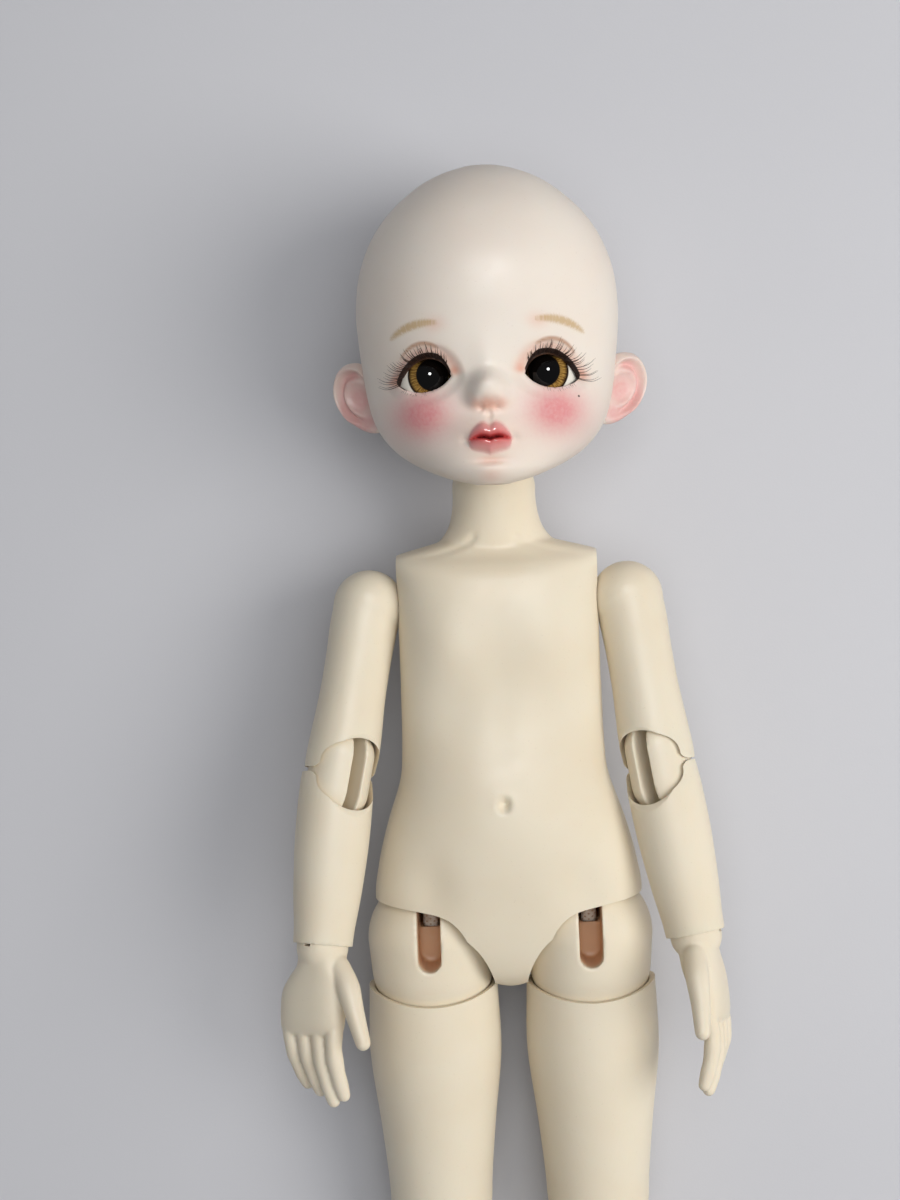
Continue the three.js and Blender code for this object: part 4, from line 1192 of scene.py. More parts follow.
@dataclass(frozen=True)
class Torso:
    """The one-piece trunk and neck, with the cords strung inside it, in millimetres from the hips."""

    half_width: float = 26.3
    depth: float = 15.0
    rise: float = 75.5
    wall: float = 2.6
    squareness: float = 2.6
    crotch_drop: float = 9.4
    armhole_x: float = 19.6
    armhole_low: float = 50.0
    neck_channel: float = 4.2
    neck_channel_low: float = 68.0
    cord_low: float = 15.0
    cord_drop: float = 5.8
    cord_gather_rise: float = 70.0
    cord_gather_radius: float = 0.9
    shoulder_channel: float = 2.1
    cavity_low: float = 15.6
    cavity_run: float = 56.4
    leg_opening_rise: float = 8.7
    well_radius: float = 13.1
    cord_hole: float = 2.6
    cord_hole_high: float = 17.6
    swings: Sequence[float] = (15, 30, 45, 60)
    swing_ahead: float = 4.0
    navel_rise: float = 28.6
    collar_fold: Rows = ((4.2, 79.4), (6.5, 77.0), (12, 76.0), (19.6, 75.2))
    trunk_rows: Rows = (
        (-0.125, 0.07, 0.3, 0.36, 0, 0),
        (-0.11, 0.19, 0.5, 0.6, 0, 0),
        (-0.07, 0.55, 0.72, 0.86, 0, 0),
        (0.0, 0.88, 0.87, 1.0, 0, 0),
        (0.1, 1.0, 0.97, 1.06, 0, 0),
        (0.2, 0.972, 1.04, 0.98, 0, 0),
        (0.31, 0.89, 1.05, 0.84, 0, 0),
        (0.42, 0.785, 0.99, 0.76, 0, 0),
        (0.5, 0.76, 0.93, 0.75, 0, 0),
        (0.63, 0.753, 0.86, 0.8, 0, 0),
        (0.77, 0.752, 0.85, 0.85, 0, 0),
        (0.88, 0.752, 0.81, 0.84, 0, 0),
        (0.945, 0.76, 0.74, 0.8, 0, 0),
        (0.98, 0.79, 0.64, 0.72, 0, 0),
        (1.005, 0.77, 0.53, 0.63, 0, -0.03),
        (1.03, 0.52, 0.45, 0.54, 0, -0.05),
        (1.05, 0.3, 0.36, 0.44, 0, -0.06),
    )
    neck_rows: Rows = (
        (-0.348, 1.9, 0.9, 1.05, 0, 0),
        (-0.058, 1.66, 0.9, 1.05, 0, 0),
        (0.203, 1.38, 0.92, 1.03, 0, 0),
        (0.436, 1.13, 0.95, 1.01, 0, 0),
        (0.697, 1.02, 0.98, 1.0, 0, 0),
        (0.987, 0.99, 0.99, 0.99, 0, 0),
    )
    cavity_rows: Rows = (
        (0.0, 0.8, 0.72, 0.7, 0, 0),
        (0.12, 0.98, 0.97, 0.9, 0, 0),
        (0.3, 0.84, 0.93, 0.7, 0, 0),
        (0.5, 0.74, 0.8, 0.65, 0, 0),
        (0.8, 0.74, 0.7, 0.72, 0, 0),
        (0.94, 0.66, 0.55, 0.64, 0, 0),
        (1.0, 0.46, 0.34, 0.42, 0, 0),
    )
    leg_curve: Rows = (
        (1.0, 1.0),
        (0.67, 0.87),
        (0.47, 0.72),
        (0.355, 0.42),
        (0.275, -0.07),
        (0.19, -0.76),
        (0.14, -1.0),
    )

    def leg_opening(self, side: Side) -> Form:
        """What is cut away where a leg enters the trunk."""
        curve = smooth_rows(self.leg_curve, 8)
        rise = np.where(curve[:, 1] > 0, self.leg_opening_rise, self.crotch_drop) * curve[:, 1]
        line = np.column_stack([curve[:, 0] * self.half_width, rise])
        wide, low = self.half_width * 1.5, -self.crotch_drop * 2.6
        corners = [(wide, self.leg_opening_rise), *line.tolist(), (self.half_width * 0.1, low), (wide, low)]
        outline = np.array(corners) * (side.sign, 1)
        return extruded(outline, -self.depth * 2, self.depth * 2)

    def build(self, shop: Workshop) -> None:
        """Shapes the trunk and its cords."""
        size = Section(self.rise, self.half_width, self.depth, self.depth)
        body = loft(self.trunk_rows, size, 96, power=self.squareness)
        collar = Section(BODY.neck_rise - self.rise, BODY.neck_radius, BODY.neck_radius, BODY.neck_radius)
        neck = loft(self.neck_rows, collar).move(moved(0, self.rise, BODY.neck_set))
        body.gather(neck, Form.ball(BODY.neck_radius, (0, BODY.neck_rise, BODY.neck_set))).cast(0.5, 5)
        body.set_places(self.model(body.places()))
        for side in Side:
            self.open_side(body, side)
        body.cut(*self.channels())
        frame = shop.frames.torso()
        shop.resin(body, "torso", frame)
        self.string(shop, frame)

    def model(self, places: np.ndarray) -> np.ndarray:
        """Adds the navel, the collar folds and the faint swell of belly, chest and ribs."""
        x, y, z = places.T
        wide = np.abs(x)
        navel = bell(x, y, 0, self.navel_rise, 0.95, 1.15)
        lip = bell(x, y, 0, self.navel_rise + 0.3, 1.9, 2.0)
        fold, along = curve_distance(wide, y, bezier(self.collar_fold, 16))
        crease = hump(fold, 0, 0.7) * (1 - along) ** 0.5
        swell = 1.5 * bell(x, y, 0, 27, 12, 13) - 0.9 * bell(wide, y, 14.5, 12, 4.5, 6)
        swell += 0.8 * bell(wide, y, 10.5, 59, 6, 7) - 0.4 * bell(wide, y, 9, 45, 6, 6)
        swell -= 0.2 * bell(x, y, 0, 44, 3, 12)
        relief = swell + 0.35 * lip - 1.9 * navel - 0.55 * crease
        return np.column_stack([x, y, z + smoothstep(2, 8, z) * relief])

    def open_side(self, body: Form, side: Side) -> None:
        """Cuts one armhole and one leg opening with its socket, which the hip piece swings in."""
        hip = (side.sign * BODY.hip_x, 0, 0)
        shoulder = (side.sign * BODY.shoulder_x, BODY.shoulder_rise, 0)
        tall = BODY.neck_rise - self.armhole_low
        flank = (side.sign * (self.armhole_x + self.half_width / 2), self.armhole_low + tall / 2, 0)
        body.cut(
            Form.block((self.half_width, tall, self.depth * 3), flank),
            Form.ball(BODY.shoulder_radius + JOINT_GAP, shoulder),
            self.leg_opening(side),
            HipPiece().form(LOOSE_GAP).move(moved(*hip)),
            Form.rod(self.well_radius, Axis.Y, -self.half_width, 0, hip, 72),
            Form.rod(self.cord_hole, Axis.Y, 0, self.cord_hole_high, hip),
        )
        pivot = moved(*hip) @ moved(0, 0, self.swing_ahead)
        for angle in self.swings:
            swing = pivot @ turned("X", -angle) @ moved(0, 0, -self.swing_ahead)
            body.cut(HipPiece().form(LOOSE_GAP).move(swing))

    def channels(self) -> list[Form]:
        """What is cut out for the cords: up the neck, across the shoulders, and the room inside."""
        depth = self.depth - self.wall
        inner = Section(self.cavity_run, self.half_width - self.wall, depth, depth)
        low, high = self.neck_channel_low, BODY.neck_rise + 12
        reach = BODY.shoulder_x
        return [
            Form.rod(self.neck_channel, Axis.Y, low, high, (0, 0, BODY.neck_set)),
            Form.rod(self.shoulder_channel, Axis.X, -reach, reach, (0, BODY.shoulder_rise, 0)),
            loft(self.cavity_rows, inner, 40, 4, self.squareness).move(moved(0, self.cavity_low, 0)),
        ]

    def string(self, shop: Workshop, frame: Matrix) -> None:
        """Strings the leg and arm cords."""
        low, high, thin = self.cord_low, BODY.neck_rise - self.cord_drop, self.cord_gather_radius
        for side in Side:
            hip, middle = side.sign * BODY.hip_x, side.sign * 2
            route = [
                (hip, low, 0),
                (hip, self.cord_hole_high, 0),
                ((hip + middle) / 2, (low + high) / 2, -2),
                (middle, self.cord_gather_rise, -2),
                (middle, high, BODY.neck_set),
            ]
            cord = tube(route, [LEG_CORD, LEG_CORD, thin, thin], 20, 16)
            shop.cord(cord, f"leg_cord_{side.value}", frame, "torso")
        reach = BODY.shoulder_x - BODY.shoulder_radius
        route = [(x, BODY.shoulder_rise, 0) for x in np.linspace(-reach, reach, 5)]
        shop.cord(tube(route, [ARM_CORD], 20), "arm_cord", frame, "torso")


@dataclass(frozen=True)
class HipPiece:
    """The capsule-shaped piece between trunk and thigh, slotted for the cord."""

    ball_radius: float = 12.6
    foot_radius: float = 12.1
    foot_drop: float = 5.6
    slot_width: float = 4.5
    slot_drop: float = 4.6
    slot_floor: float = 2.5
    top_rise: float = 2.4
    top_back: float = 9.0
    bore_high: float = 4.4
    cord_rises: Sequence[float] = (2.7, 5.2, 7.7, 9.6)

    def form(self, growth: float) -> Form:
        """The piece's outer form, grown by a clearance."""
        steps, foot, ball = 18, self.foot_radius + growth, self.ball_radius + growth
        low = [(foot, -self.foot_drop, -90 + 84 * k / steps) for k in range(1, steps + 1)]
        high = [(ball, 0.0, 90 * k / steps) for k in range(steps)]
        return domed(low + high, 80)

    def build(self, shop: Workshop, side: Side) -> None:
        """Shapes the piece and the stretch of cord that it holds."""
        width, half, reach = self.slot_width, self.slot_width / 2, self.ball_radius + OVERRUN
        foot, floor, low, back = self.slot_drop - half, self.slot_floor, self.top_rise, self.top_back
        piece = self.form(0).cut(
            Form.block((width, reach + foot, reach - floor), (0, (reach - foot) / 2, (reach + floor) / 2)),
            Form.rod(half, Axis.Z, floor, reach, (0, -foot, 0)),
            Form.block((width, reach - low, reach + back), (0, (reach + low) / 2, (reach - back) / 2)),
        )
        piece.cast(0.4).cut(Form.rod(LEG_BORE, Axis.Y, -20, self.bore_high))
        x, y, z = piece.places().T
        deep = self.ball_radius - np.sqrt(x**2 + np.where(y > 0, y, 0) ** 2 + z**2)
        # The depth mark: how deep a place lies in the cord slot; the finish paints shade by it.
        piece.mark("depth", smoothstep(0.5, 3.5, deep) * smoothstep(3.4, 2.6, np.abs(x)) * (y > -9))
        frame = shop.frames.leg(side)
        name, label = f"hip_piece_{side.value}", f"hip_cord_{side.value}"
        shop.put(piece, name, frame, name, "body_resin", shop.finishes.socket, EDGE_ANGLE)
        cord = tube([(0, y, 0) for y in self.cord_rises], [LEG_CORD], 20)
        shop.cord(cord, label, frame, label)


@dataclass(frozen=True)
class Leg:
    """Thigh, double knee, shin and foot, strung on one cord."""

    thigh_rows: Rows = (
        (0.08, 0.96, 0.93, 0.95, 0, 0),
        (0.2, 0.985, 0.97, 0.99, 0, 0),
        (0.38, 1.0, 1.0, 1.02, 0, 0),
        (0.6, 0.88, 0.91, 0.95, 0, 0),
        (0.8, 0.79, 0.82, 0.83, 0, 0),
        (0.92, 0.775, 0.8, 0.79, 0, 0),
        (1.03, 0.74, 0.76, 0.74, 0, 0),
    )
    shin_rows: Rows = (
        (-0.1, 0.9, 0.86, 0.88, 0, 0),
        (0.04, 0.97, 0.93, 0.98, 0, 0),
        (0.22, 1.02, 0.93, 1.12, 0, 0),
        (0.42, 0.95, 0.85, 1.04, 0, 0),
        (0.65, 0.75, 0.7, 0.78, 0, 0),
        (0.85, 0.63, 0.62, 0.64, 0, 0),
        (1.0, 0.62, 0.62, 0.64, 0, 0),
        (1.06, 0.6, 0.6, 0.62, 0, 0),
    )
    thigh: Section = Section(-BODY.thigh_length, 13.1, 12.4, 12.4)
    shin: Section = Section(-BODY.shin_length, 9.4, 9.2, 9.2)
    rim_curve: float = 36.0
    rim_rise: float = 24.5
    seat_radius: float = 12.35
    bore_drop: float = 17.0
    cord_drop: float = 18.0
    knee_slot: float = 3.8
    kneecap: Sequence[float] = (0.4, 0.74)
    """The kneecap's radius and how far ahead it lies, as shares of the knee's radius."""
    ankle_show: float = 1.6

    def build(self, shop: Workshop, side: Side) -> None:
        """Builds the pieces of one leg below the hip piece."""
        self.build_thigh(shop, side)
        self.build_knee(shop, side)
        self.build_shin(shop, side)
        Foot().build(shop, side)

    def build_thigh(self, shop: Workshop, side: Side) -> None:
        """The thigh, whose rim is cut crisply after its casting, and the cord in it."""
        name, frame = f"thigh_{side.value}", shop.frames.leg(side)
        top, reach = BODY.thigh_length - BODY.knee_spacing / 2, self.thigh.front * 2
        thigh = loft(self.thigh_rows, self.thigh, 80, 8)
        thigh.cut(past_rim(-top, False), Form.ball(BODY.knee_radius + CUP_GAP, (0, -top, 0))).cast(0.4, 3)
        thigh.cut(
            Form.rod(self.rim_curve, Axis.Z, -reach, reach, (0, self.rim_rise, 0), 160),
            Form.ball(self.seat_radius, (0, -HipPiece.foot_drop, 0), 96),
            Form.rod(LEG_BORE, Axis.Y, -top, -self.bore_drop),
        )
        shop.resin(thigh, name, frame)
        low = BODY.knee_radius - top + LOOSE_GAP
        cord = straight_cord(LEG_CORD, -self.cord_drop, low, 6, 20)
        shop.cord(cord, f"thigh_cord_{side.value}", frame, name)

    def build_knee(self, shop: Workshop, side: Side) -> None:
        """The knee piece with its kneecap."""
        radius = BODY.knee_radius
        knee = double_joint(radius, BODY.knee_spacing, self.knee_slot).move(turned("Y", 180))
        size, ahead = (radius * share for share in self.kneecap)
        knee.gather(Form.ball(size, (0, 0, ahead), 48)).cast(0.33, 4)
        shop.resin(knee, f"knee_piece_{side.value}", shop.frames.knee(side))

    def build_shin(self, shop: Workshop, side: Side) -> None:
        """The shin and the cord in it."""
        name, frame = f"shin_{side.value}", shop.frames.knee(side)
        drop, top, reach = BODY.shin_length, BODY.knee_spacing / 2, self.shin.width * 2
        shin = loft(self.shin_rows, self.shin, steps=8)
        shin.cut(
            past_rim(-top, True),
            Form.ball(BODY.knee_radius + CUP_GAP, (0, -top, 0)),
            Form.block((reach, reach, reach), (0, self.ankle_show - drop - reach / 2, 0)),
            Form.ball(BODY.ankle_radius + CUP_GAP, (0, -drop, 0)),
        )
        shin.cast(0.36, 3).cut(Form.rod(LEG_BORE, Axis.Y, -drop, -top))
        shop.resin(shin, name, frame)
        low, high = BODY.ankle_hook_rise + HOOK_GAP - drop, -top - BODY.knee_radius - LOOSE_GAP
        shop.cord(straight_cord(LEG_CORD, high, low, 5, 20), f"shin_cord_{side.value}", frame, name)


@dataclass(frozen=True)
class Foot:
    """A bare foot with toes, over the ankle's ball and hook."""

    rows: Rows = (
        (-0.02, 0.42, 0.34, 0.5, 0, 0.42),
        (0.02, 0.66, 0.5, 0.62, 0, 0.42),
        (0.1, 0.8, 0.66, 0.7, 0, 0.42),
        (0.22, 0.83, 0.72, 0.7, 0, 0.42),
        (0.36, 0.82, 0.52, 0.62, 0, 0.42),
        (0.52, 0.86, 0.32, 0.62, 0, 0.4),
        (0.7, 0.98, 0.16, 0.62, 0.02, 0.38),
        (0.84, 1.0, 0.1, 0.62, 0.05, 0.32),
        (0.93, 0.92, 0.05, 0.56, 0.08, 0.28),
    )
    ankle_rows: Rows = (
        (0, 0.95, 0.95, 0.95, 0, 0),
        (0.35, 0.9, 0.9, 0.95, 0, 0),
        (0.7, 0.95, 1.0, 1.05, 0, 0),
    )
    toes: Rows = (
        (0.58, 0.955, 1.25),
        (0.2, 0.965, 0.95),
        (-0.13, 0.95, 0.9),
        (-0.43, 0.925, 0.85),
        (-0.7, 0.89, 0.8),
    )
    length: float = 35.0
    heel_reach: float = 9.0
    half_width: float = 7.2
    depth: float = 13.0
    sole_drop: float = 15.0
    toe_radius: float = 1.9

    def build(self, shop: Workshop, side: Side) -> None:
        """Shapes the foot and its hook."""
        radius = BODY.ankle_radius
        place = moved(0, -self.sole_drop, -self.heel_reach) @ turned("X", -90)
        foot = loft(self.rows, Section(-self.length, self.half_width, self.depth, self.depth), 64).move(place)
        shaft = loft(self.ankle_rows, Section(-self.sole_drop, radius, radius, radius), 48, 6)
        below = (0, -self.sole_drop * 1.5, 0)
        foot.gather(shaft, Form.ball(radius), *self.toe_forms()).cast(0.3, 3)
        foot.cut(Form.block((self.length * 2, self.sole_drop, self.length * 4), below))
        foot.cast(0.3, 1).cut(hook_seat(radius)).mirror(side is Side.LEFT)
        shop.resin(foot, f"foot_{side.value}", shop.frames.foot(side))
        shop.wire(hook_wire(BODY.ankle_hook_rise), f"ankle_hook_{side.value}", shop.frames.ankle(side))

    def toe_forms(self) -> list[Form]:
        """The toes, each from its place across, its reach and its thickness."""
        made = []
        for across, ahead, thick in self.toes:
            radius = self.toe_radius * thick
            reach = ahead * self.length - self.heel_reach
            tip = np.array([across * self.half_width, radius - self.sole_drop, reach])
            route = [tip + (0, 1.3, -4.5), tip + (0, 0.7, -2), tip]
            made.append(tube(route, [radius * 0.85, radius * 0.92, radius], 20))
        return made


@dataclass(frozen=True)
class Arm:
    """Upper arm, double elbow and forearm, strung on one cord."""

    upper_rows: Rows = (
        (-0.02, 0.975, 1.02, 1.02, 0.025, 0),
        (0.15, 0.965, 1.01, 1.01, 0.05, 0),
        (0.35, 0.935, 0.97, 0.98, 0.04, 0),
        (0.6, 0.94, 0.96, 0.96, 0.02, 0),
        (0.85, 1.0, 1.0, 1.0, 0, 0),
        (1.05, 1.03, 1.02, 1.02, 0, 0),
        (1.18, 0.96, 0.97, 0.97, 0, 0),
    )
    forearm_rows: Rows = (
        (-0.2, 0.93, 0.93, 0.93, 0, 0),
        (-0.05, 0.99, 0.98, 0.98, 0, 0),
        (0.1, 1.01, 1.0, 1.0, 0, 0),
        (0.35, 1.0, 0.98, 0.98, 0, 0),
        (0.65, 0.92, 0.89, 0.89, 0, 0),
        (0.88, 0.82, 0.79, 0.79, 0, 0),
        (0.985, 0.8, 0.77, 0.77, 0, 0),
    )
    upper: Section = Section(-BODY.arm_length, 6.9, 6.9, 6.9)
    lower: Section = Section(-BODY.arm_length, 7.2, 7.2, 7.2)
    elbow_slot: float = 2.8
    shoulder_slot: float = 3.0
    cord_inset: float = 0.6
    cord_drop: float = 1.6

    def build(self, shop: Workshop, side: Side) -> None:
        """Builds the pieces of one arm."""
        turn = -side.sign * shop.frames.arms[side].bend_turn
        self.build_upper(shop, side, turn)
        elbow = double_joint(BODY.elbow_radius, BODY.elbow_spacing, self.elbow_slot).cast(0.33, 3)
        shop.resin(elbow, f"elbow_piece_{side.value}", shop.frames.elbow(side))
        self.build_forearm(shop, side, turn)
        Hand().build(shop, side)

    def build_upper(self, shop: Workshop, side: Side, turn: float) -> None:
        """The upper arm with its shoulder ball, and the cords in it."""
        name, frame, drop = f"upper_arm_{side.value}", shop.frames.arm(side), BODY.arm_length
        upper = loft(self.upper_rows, self.upper, 64).mirror(side is Side.RIGHT)
        upper.gather(Form.ball(BODY.shoulder_radius)).cast(0.36, 14)
        upper.cut(*elbow_room(-drop, False, turn))
        reach, half = BODY.shoulder_radius + OVERRUN, self.shoulder_slot / 2
        middle = (-side.sign * (reach / 2 - half), (reach - half) / 2, 0)
        slot = Form.block((reach, reach + half, self.shoulder_slot), middle)
        upper.cut(slot, Form.rod(ARM_BORE, Axis.Y, -drop, 0))
        shop.resin(upper, name, frame)
        end = BODY.shoulder_radius - self.cord_inset
        start = -end if side is Side.LEFT else JOINT_GAP
        stretch = [(x, 0, 0) for x in np.linspace(start, start + end - JOINT_GAP, 4)]
        label = f"shoulder_cord_{side.value}"
        shop.cord(tube(stretch, [ARM_CORD], 18), label, frame, label)
        low = BODY.elbow_radius - drop + LOOSE_GAP
        cord = straight_cord(ARM_CORD, -self.cord_drop, low, 5, 18)
        shop.cord(cord, f"upper_arm_cord_{side.value}", frame, name)

    def build_forearm(self, shop: Workshop, side: Side, turn: float) -> None:
        """The forearm and the cord in it."""
        name, frame, drop = f"forearm_{side.value}", shop.frames.forearm(side), BODY.arm_length
        forearm = loft(self.forearm_rows, self.lower, 64).cast(0.36, 3)
        forearm.cut(
            *elbow_room(0, True, turn),
            Form.ball(BODY.wrist_radius + CUP_GAP, (0, -drop, 0)),
            Form.rod(ARM_BORE, Axis.Y, -drop, 0),
        )
        shop.resin(forearm, name, frame)
        low, high = BODY.wrist_hook_rise + HOOK_GAP - drop, -BODY.elbow_radius - LOOSE_GAP
        shop.cord(straight_cord(ARM_CORD, high, low, 4, 18), f"forearm_cord_{side.value}", frame, name)


@dataclass(frozen=True)
class Hand:
    """A relaxed hand with separate fingers, over the wrist's ball and hook."""

    palm_rows: Rows = (
        (-0.02, 0.68, 1.15, 1.15, 0, 0),
        (0.22, 0.68, 1.12, 1.12, 0, 0),
        (0.38, 0.88, 1.1, 1.1, -0.08, 0),
        (0.56, 1.0, 1.05, 1.0, -0.2, 0),
        (0.8, 1.02, 0.95, 0.9, -0.24, 0),
        (1.0, 1.0, 0.8, 0.76, -0.24, 0),
        (1.1, 0.92, 0.55, 0.55, -0.24, 0),
    )
    fingers: Rows = ((0.5, 0.92, 0.04), (0.0, 1.0, 0.12), (-0.5, 0.87, 0.14), (-0.98, 0.78, 0.16))
    bones: Sequence[float] = (0, 0.36, 0.68, 1)
    curl: Sequence[float] = (0, 0.02, -0.06, -0.2)
    thickness: Sequence[float] = (1.0, 1.06, 0.94, 1.0, 0.88, 0.9, 0.74)
    thumb: Rows = (
        (0.55, 0.22, 0, 1.15),
        (0.93, 0.46, 0.1, 1.2),
        (1.2, 0.76, 0.15, 0.97),
        (1.5, 1.11, 0.1, 0.78),
    )
    palm_length: float = 15.2
    palm_half_width: float = 7.1
    palm_half_depth: float = 3.3
    finger_root: float = 0.94
    finger_length: float = 14.6
    finger_radius: float = 1.68
    thumb_length: float = 16.0
    thumb_radius: float = 1.9
    palm_tilt: float = 4.0
    knuckle_radius: float = 1.6

    def build(self, shop: Workshop, side: Side) -> None:
        """Shapes a hand with its thumb towards +X, mirrored for the left, and its hook."""
        size = Section(-self.palm_length, self.palm_half_width, self.palm_half_depth, self.palm_half_depth)
        hand = loft(self.palm_rows, size, 64, power=2.6)
        hand.gather(*self.digits()).move(turned("Z", self.palm_tilt))
        hand.gather(Form.ball(BODY.wrist_radius)).cast(0.27, 9)
        hand.cut(hook_seat(BODY.wrist_radius)).mirror(side is Side.LEFT)
        frame = shop.frames.wrist(side)
        shop.resin(hand, f"hand_{side.value}", frame)
        shop.wire(hook_wire(BODY.wrist_hook_rise), f"wrist_hook_{side.value}", frame)

    def digits(self) -> list[Form]:
        """The fingers with their knuckles, and the thumb."""
        made = []
        for across, length, drift in self.fingers:
            route = []
            for share, bend in zip(self.bones, self.curl, strict=True):
                x = across * self.palm_half_width + drift * share * self.finger_length
                y = -self.palm_length * self.finger_root - share * length * self.finger_length
                route.append((x, y, bend * self.finger_length))
            made.append(tube(route, [self.finger_radius * t for t in self.thickness], 24))
            x, y, z = route[0]
            made.append(Form.ball(self.knuckle_radius, (x, y + 0.8, z + 0.7), 32))
        size = np.array([self.palm_half_width, -self.thumb_length, self.palm_half_depth])
        thumb = np.array(self.thumb)
        made.append(tube(thumb[:, :3] * size, self.thumb_radius * thumb[:, 3], 24))
        return made


# Head


@dataclass(frozen=True)
class Eyelids:
    """An eye's opening on the doll's left, and the lids about it, in the head's frame."""

    upper: Rows = ((6.75, 19.45), (7.9, 24.2), (14.2, 24.7), (16.3, 18.3))
    lower: Rows = ((16.3, 18.3), (14.0, 16.0), (8.9, 16.2), (6.75, 19.45))
    centre: Point = (11.6, 19.4, 19.7)
    """The eyeball's middle."""
    corners: Rows = ((6.7, 16.3), (19.5, 18.3))
    """Where the corners lie across, and up."""
    region: float = 11.0
    """How far from the eyeball's middle the lids reach."""
    cover_radius: float = 7.3
    rounding: float = 0.55

    def level(self, x: np.ndarray) -> np.ndarray:
        """The height of the line between the corners."""
        return np.interp(x, *self.corners)

    def about(self, x: np.ndarray, y: np.ndarray) -> np.ndarray:
        """Whether places lie about the eye."""
        return np.hypot(x - self.centre[0], y - self.centre[1]) < self.region

    def outline(self) -> np.ndarray:
        """The whole opening, as a closed line of points."""
        return np.vstack([bezier(self.upper, 33)[:-1], bezier(self.lower, 33)[:-1]])

    def reach(self, x: np.ndarray, y: np.ndarray) -> np.ndarray:
        """How far points lie outside the opening; less than nothing inside it."""
        loop = self.outline()
        away, _ = curve_distance(x, y, np.vstack([loop, loop[:1]]))
        return np.where(inside_loop(x, y, loop), -away, away)

    def rim(self, places: np.ndarray, curve: Rows) -> np.ndarray:
        """Points along one edge of the opening, raised to the face about it."""
        ahead = places[(places[:, 2] > 15) & (places[:, 0] > 0)]
        found = []
        for x, y in bezier(curve, 101):
            near = np.argmin((ahead[:, 0] - x) ** 2 + (ahead[:, 1] - y) ** 2)
            found.append((x, y, ahead[near, 2]))
        return np.array(found)

    def cover(self, x: np.ndarray, y: np.ndarray, z: np.ndarray) -> np.ndarray:
        """Draws the face over the eyeball and rounds the rim of the opening."""
        near = self.about(x, y) & (z > 5)
        px, py, pz = x[near], y[near], z[near]
        away = self.reach(px, py)
        aside = (px - self.centre[0]) ** 2 + (py - self.centre[1]) ** 2
        lid = self.centre[2] + np.sqrt(np.maximum(self.cover_radius**2 - aside, 1.0))
        share = 1 - smoothstep(0.2, 4.2, away)
        share = np.where(lid < pz, 0.2 * (1 - smoothstep(0.2, 2.8, away)), share)
        pz = pz + share * (lid - pz)
        above = smoothstep(-0.5, 1.0, py - self.level(px))
        fold = above * smoothstep(6.6, 9, px) * smoothstep(18.5, 16.0, px)
        pz = pz - 0.3 * fold * hump(away, 1.75, 0.36) + 0.18 * fold * hump(away, 1.0, 0.5)
        inner = np.clip(self.rounding - away, 0, self.rounding)
        pz = pz - (self.rounding - np.sqrt(np.maximum(self.rounding**2 - inner**2, 0)))
        result = z.copy()
        result[near] = pz
        return result


@dataclass(frozen=True)
class Lips:
    """A small closed mouth, in the head's frame."""

    rise: float = 7.75
    half_width: float = 4.0
    upper_height: float = 2.9
    lower_height: float = 2.8

    def lines(self, x: np.ndarray) -> tuple[np.ndarray, np.ndarray, np.ndarray, np.ndarray]:
        """The mouth's line, the lips' top and bottom, and how open the shape is there."""
        t = np.clip(np.abs(x) / self.half_width, 0, 1)
        open_share = 1 - t**2
        line = self.rise - 0.12 + 0.34 * np.sin(math.pi * np.clip(t * 1.15, 0, 1)) * (1 - 0.25 * t)
        top = line + self.upper_height * open_share**0.6 * (1 - 0.17 * np.exp(-((x / 0.8) ** 2)))
        bottom = line - self.lower_height * open_share**0.36
        return line, top, bottom, open_share

    def raise_face(self, x: np.ndarray, y: np.ndarray) -> np.ndarray:
        """How far the lips stand out at each place."""
        line, top, bottom, open_share = self.lines(x)
        up = np.clip((y - line) / np.maximum(top - line, 0.05), 0, 1)
        down = np.clip((line - y) / np.maximum(line - bottom, 0.05), 0, 1)
        upper = 1.05 * np.sin(math.pi * up**0.6) ** 0.85
        lower = 1.45 * np.sin(math.pi * down**0.72) ** 0.85
        swell = np.where(y > line, upper, lower) * open_share**0.5
        groove = 1.0 * np.clip(open_share + 0.1, 0, 1) * np.exp(-(((y - line) / 0.36) ** 2))
        return swell - groove * (np.abs(x) < self.half_width + 0.8)

    def marks(self, x: np.ndarray, y: np.ndarray) -> tuple[np.ndarray, np.ndarray]:
        """How far points lie outside the lips, and how far from the mouth's line."""
        line, top, bottom, _ = self.lines(x)
        out = np.maximum(np.where(y > line, y - top, bottom - y), np.abs(x) - self.half_width)
        return out, np.abs(y - line) + 0.3 * np.maximum(np.abs(x) - 1.7, 0)


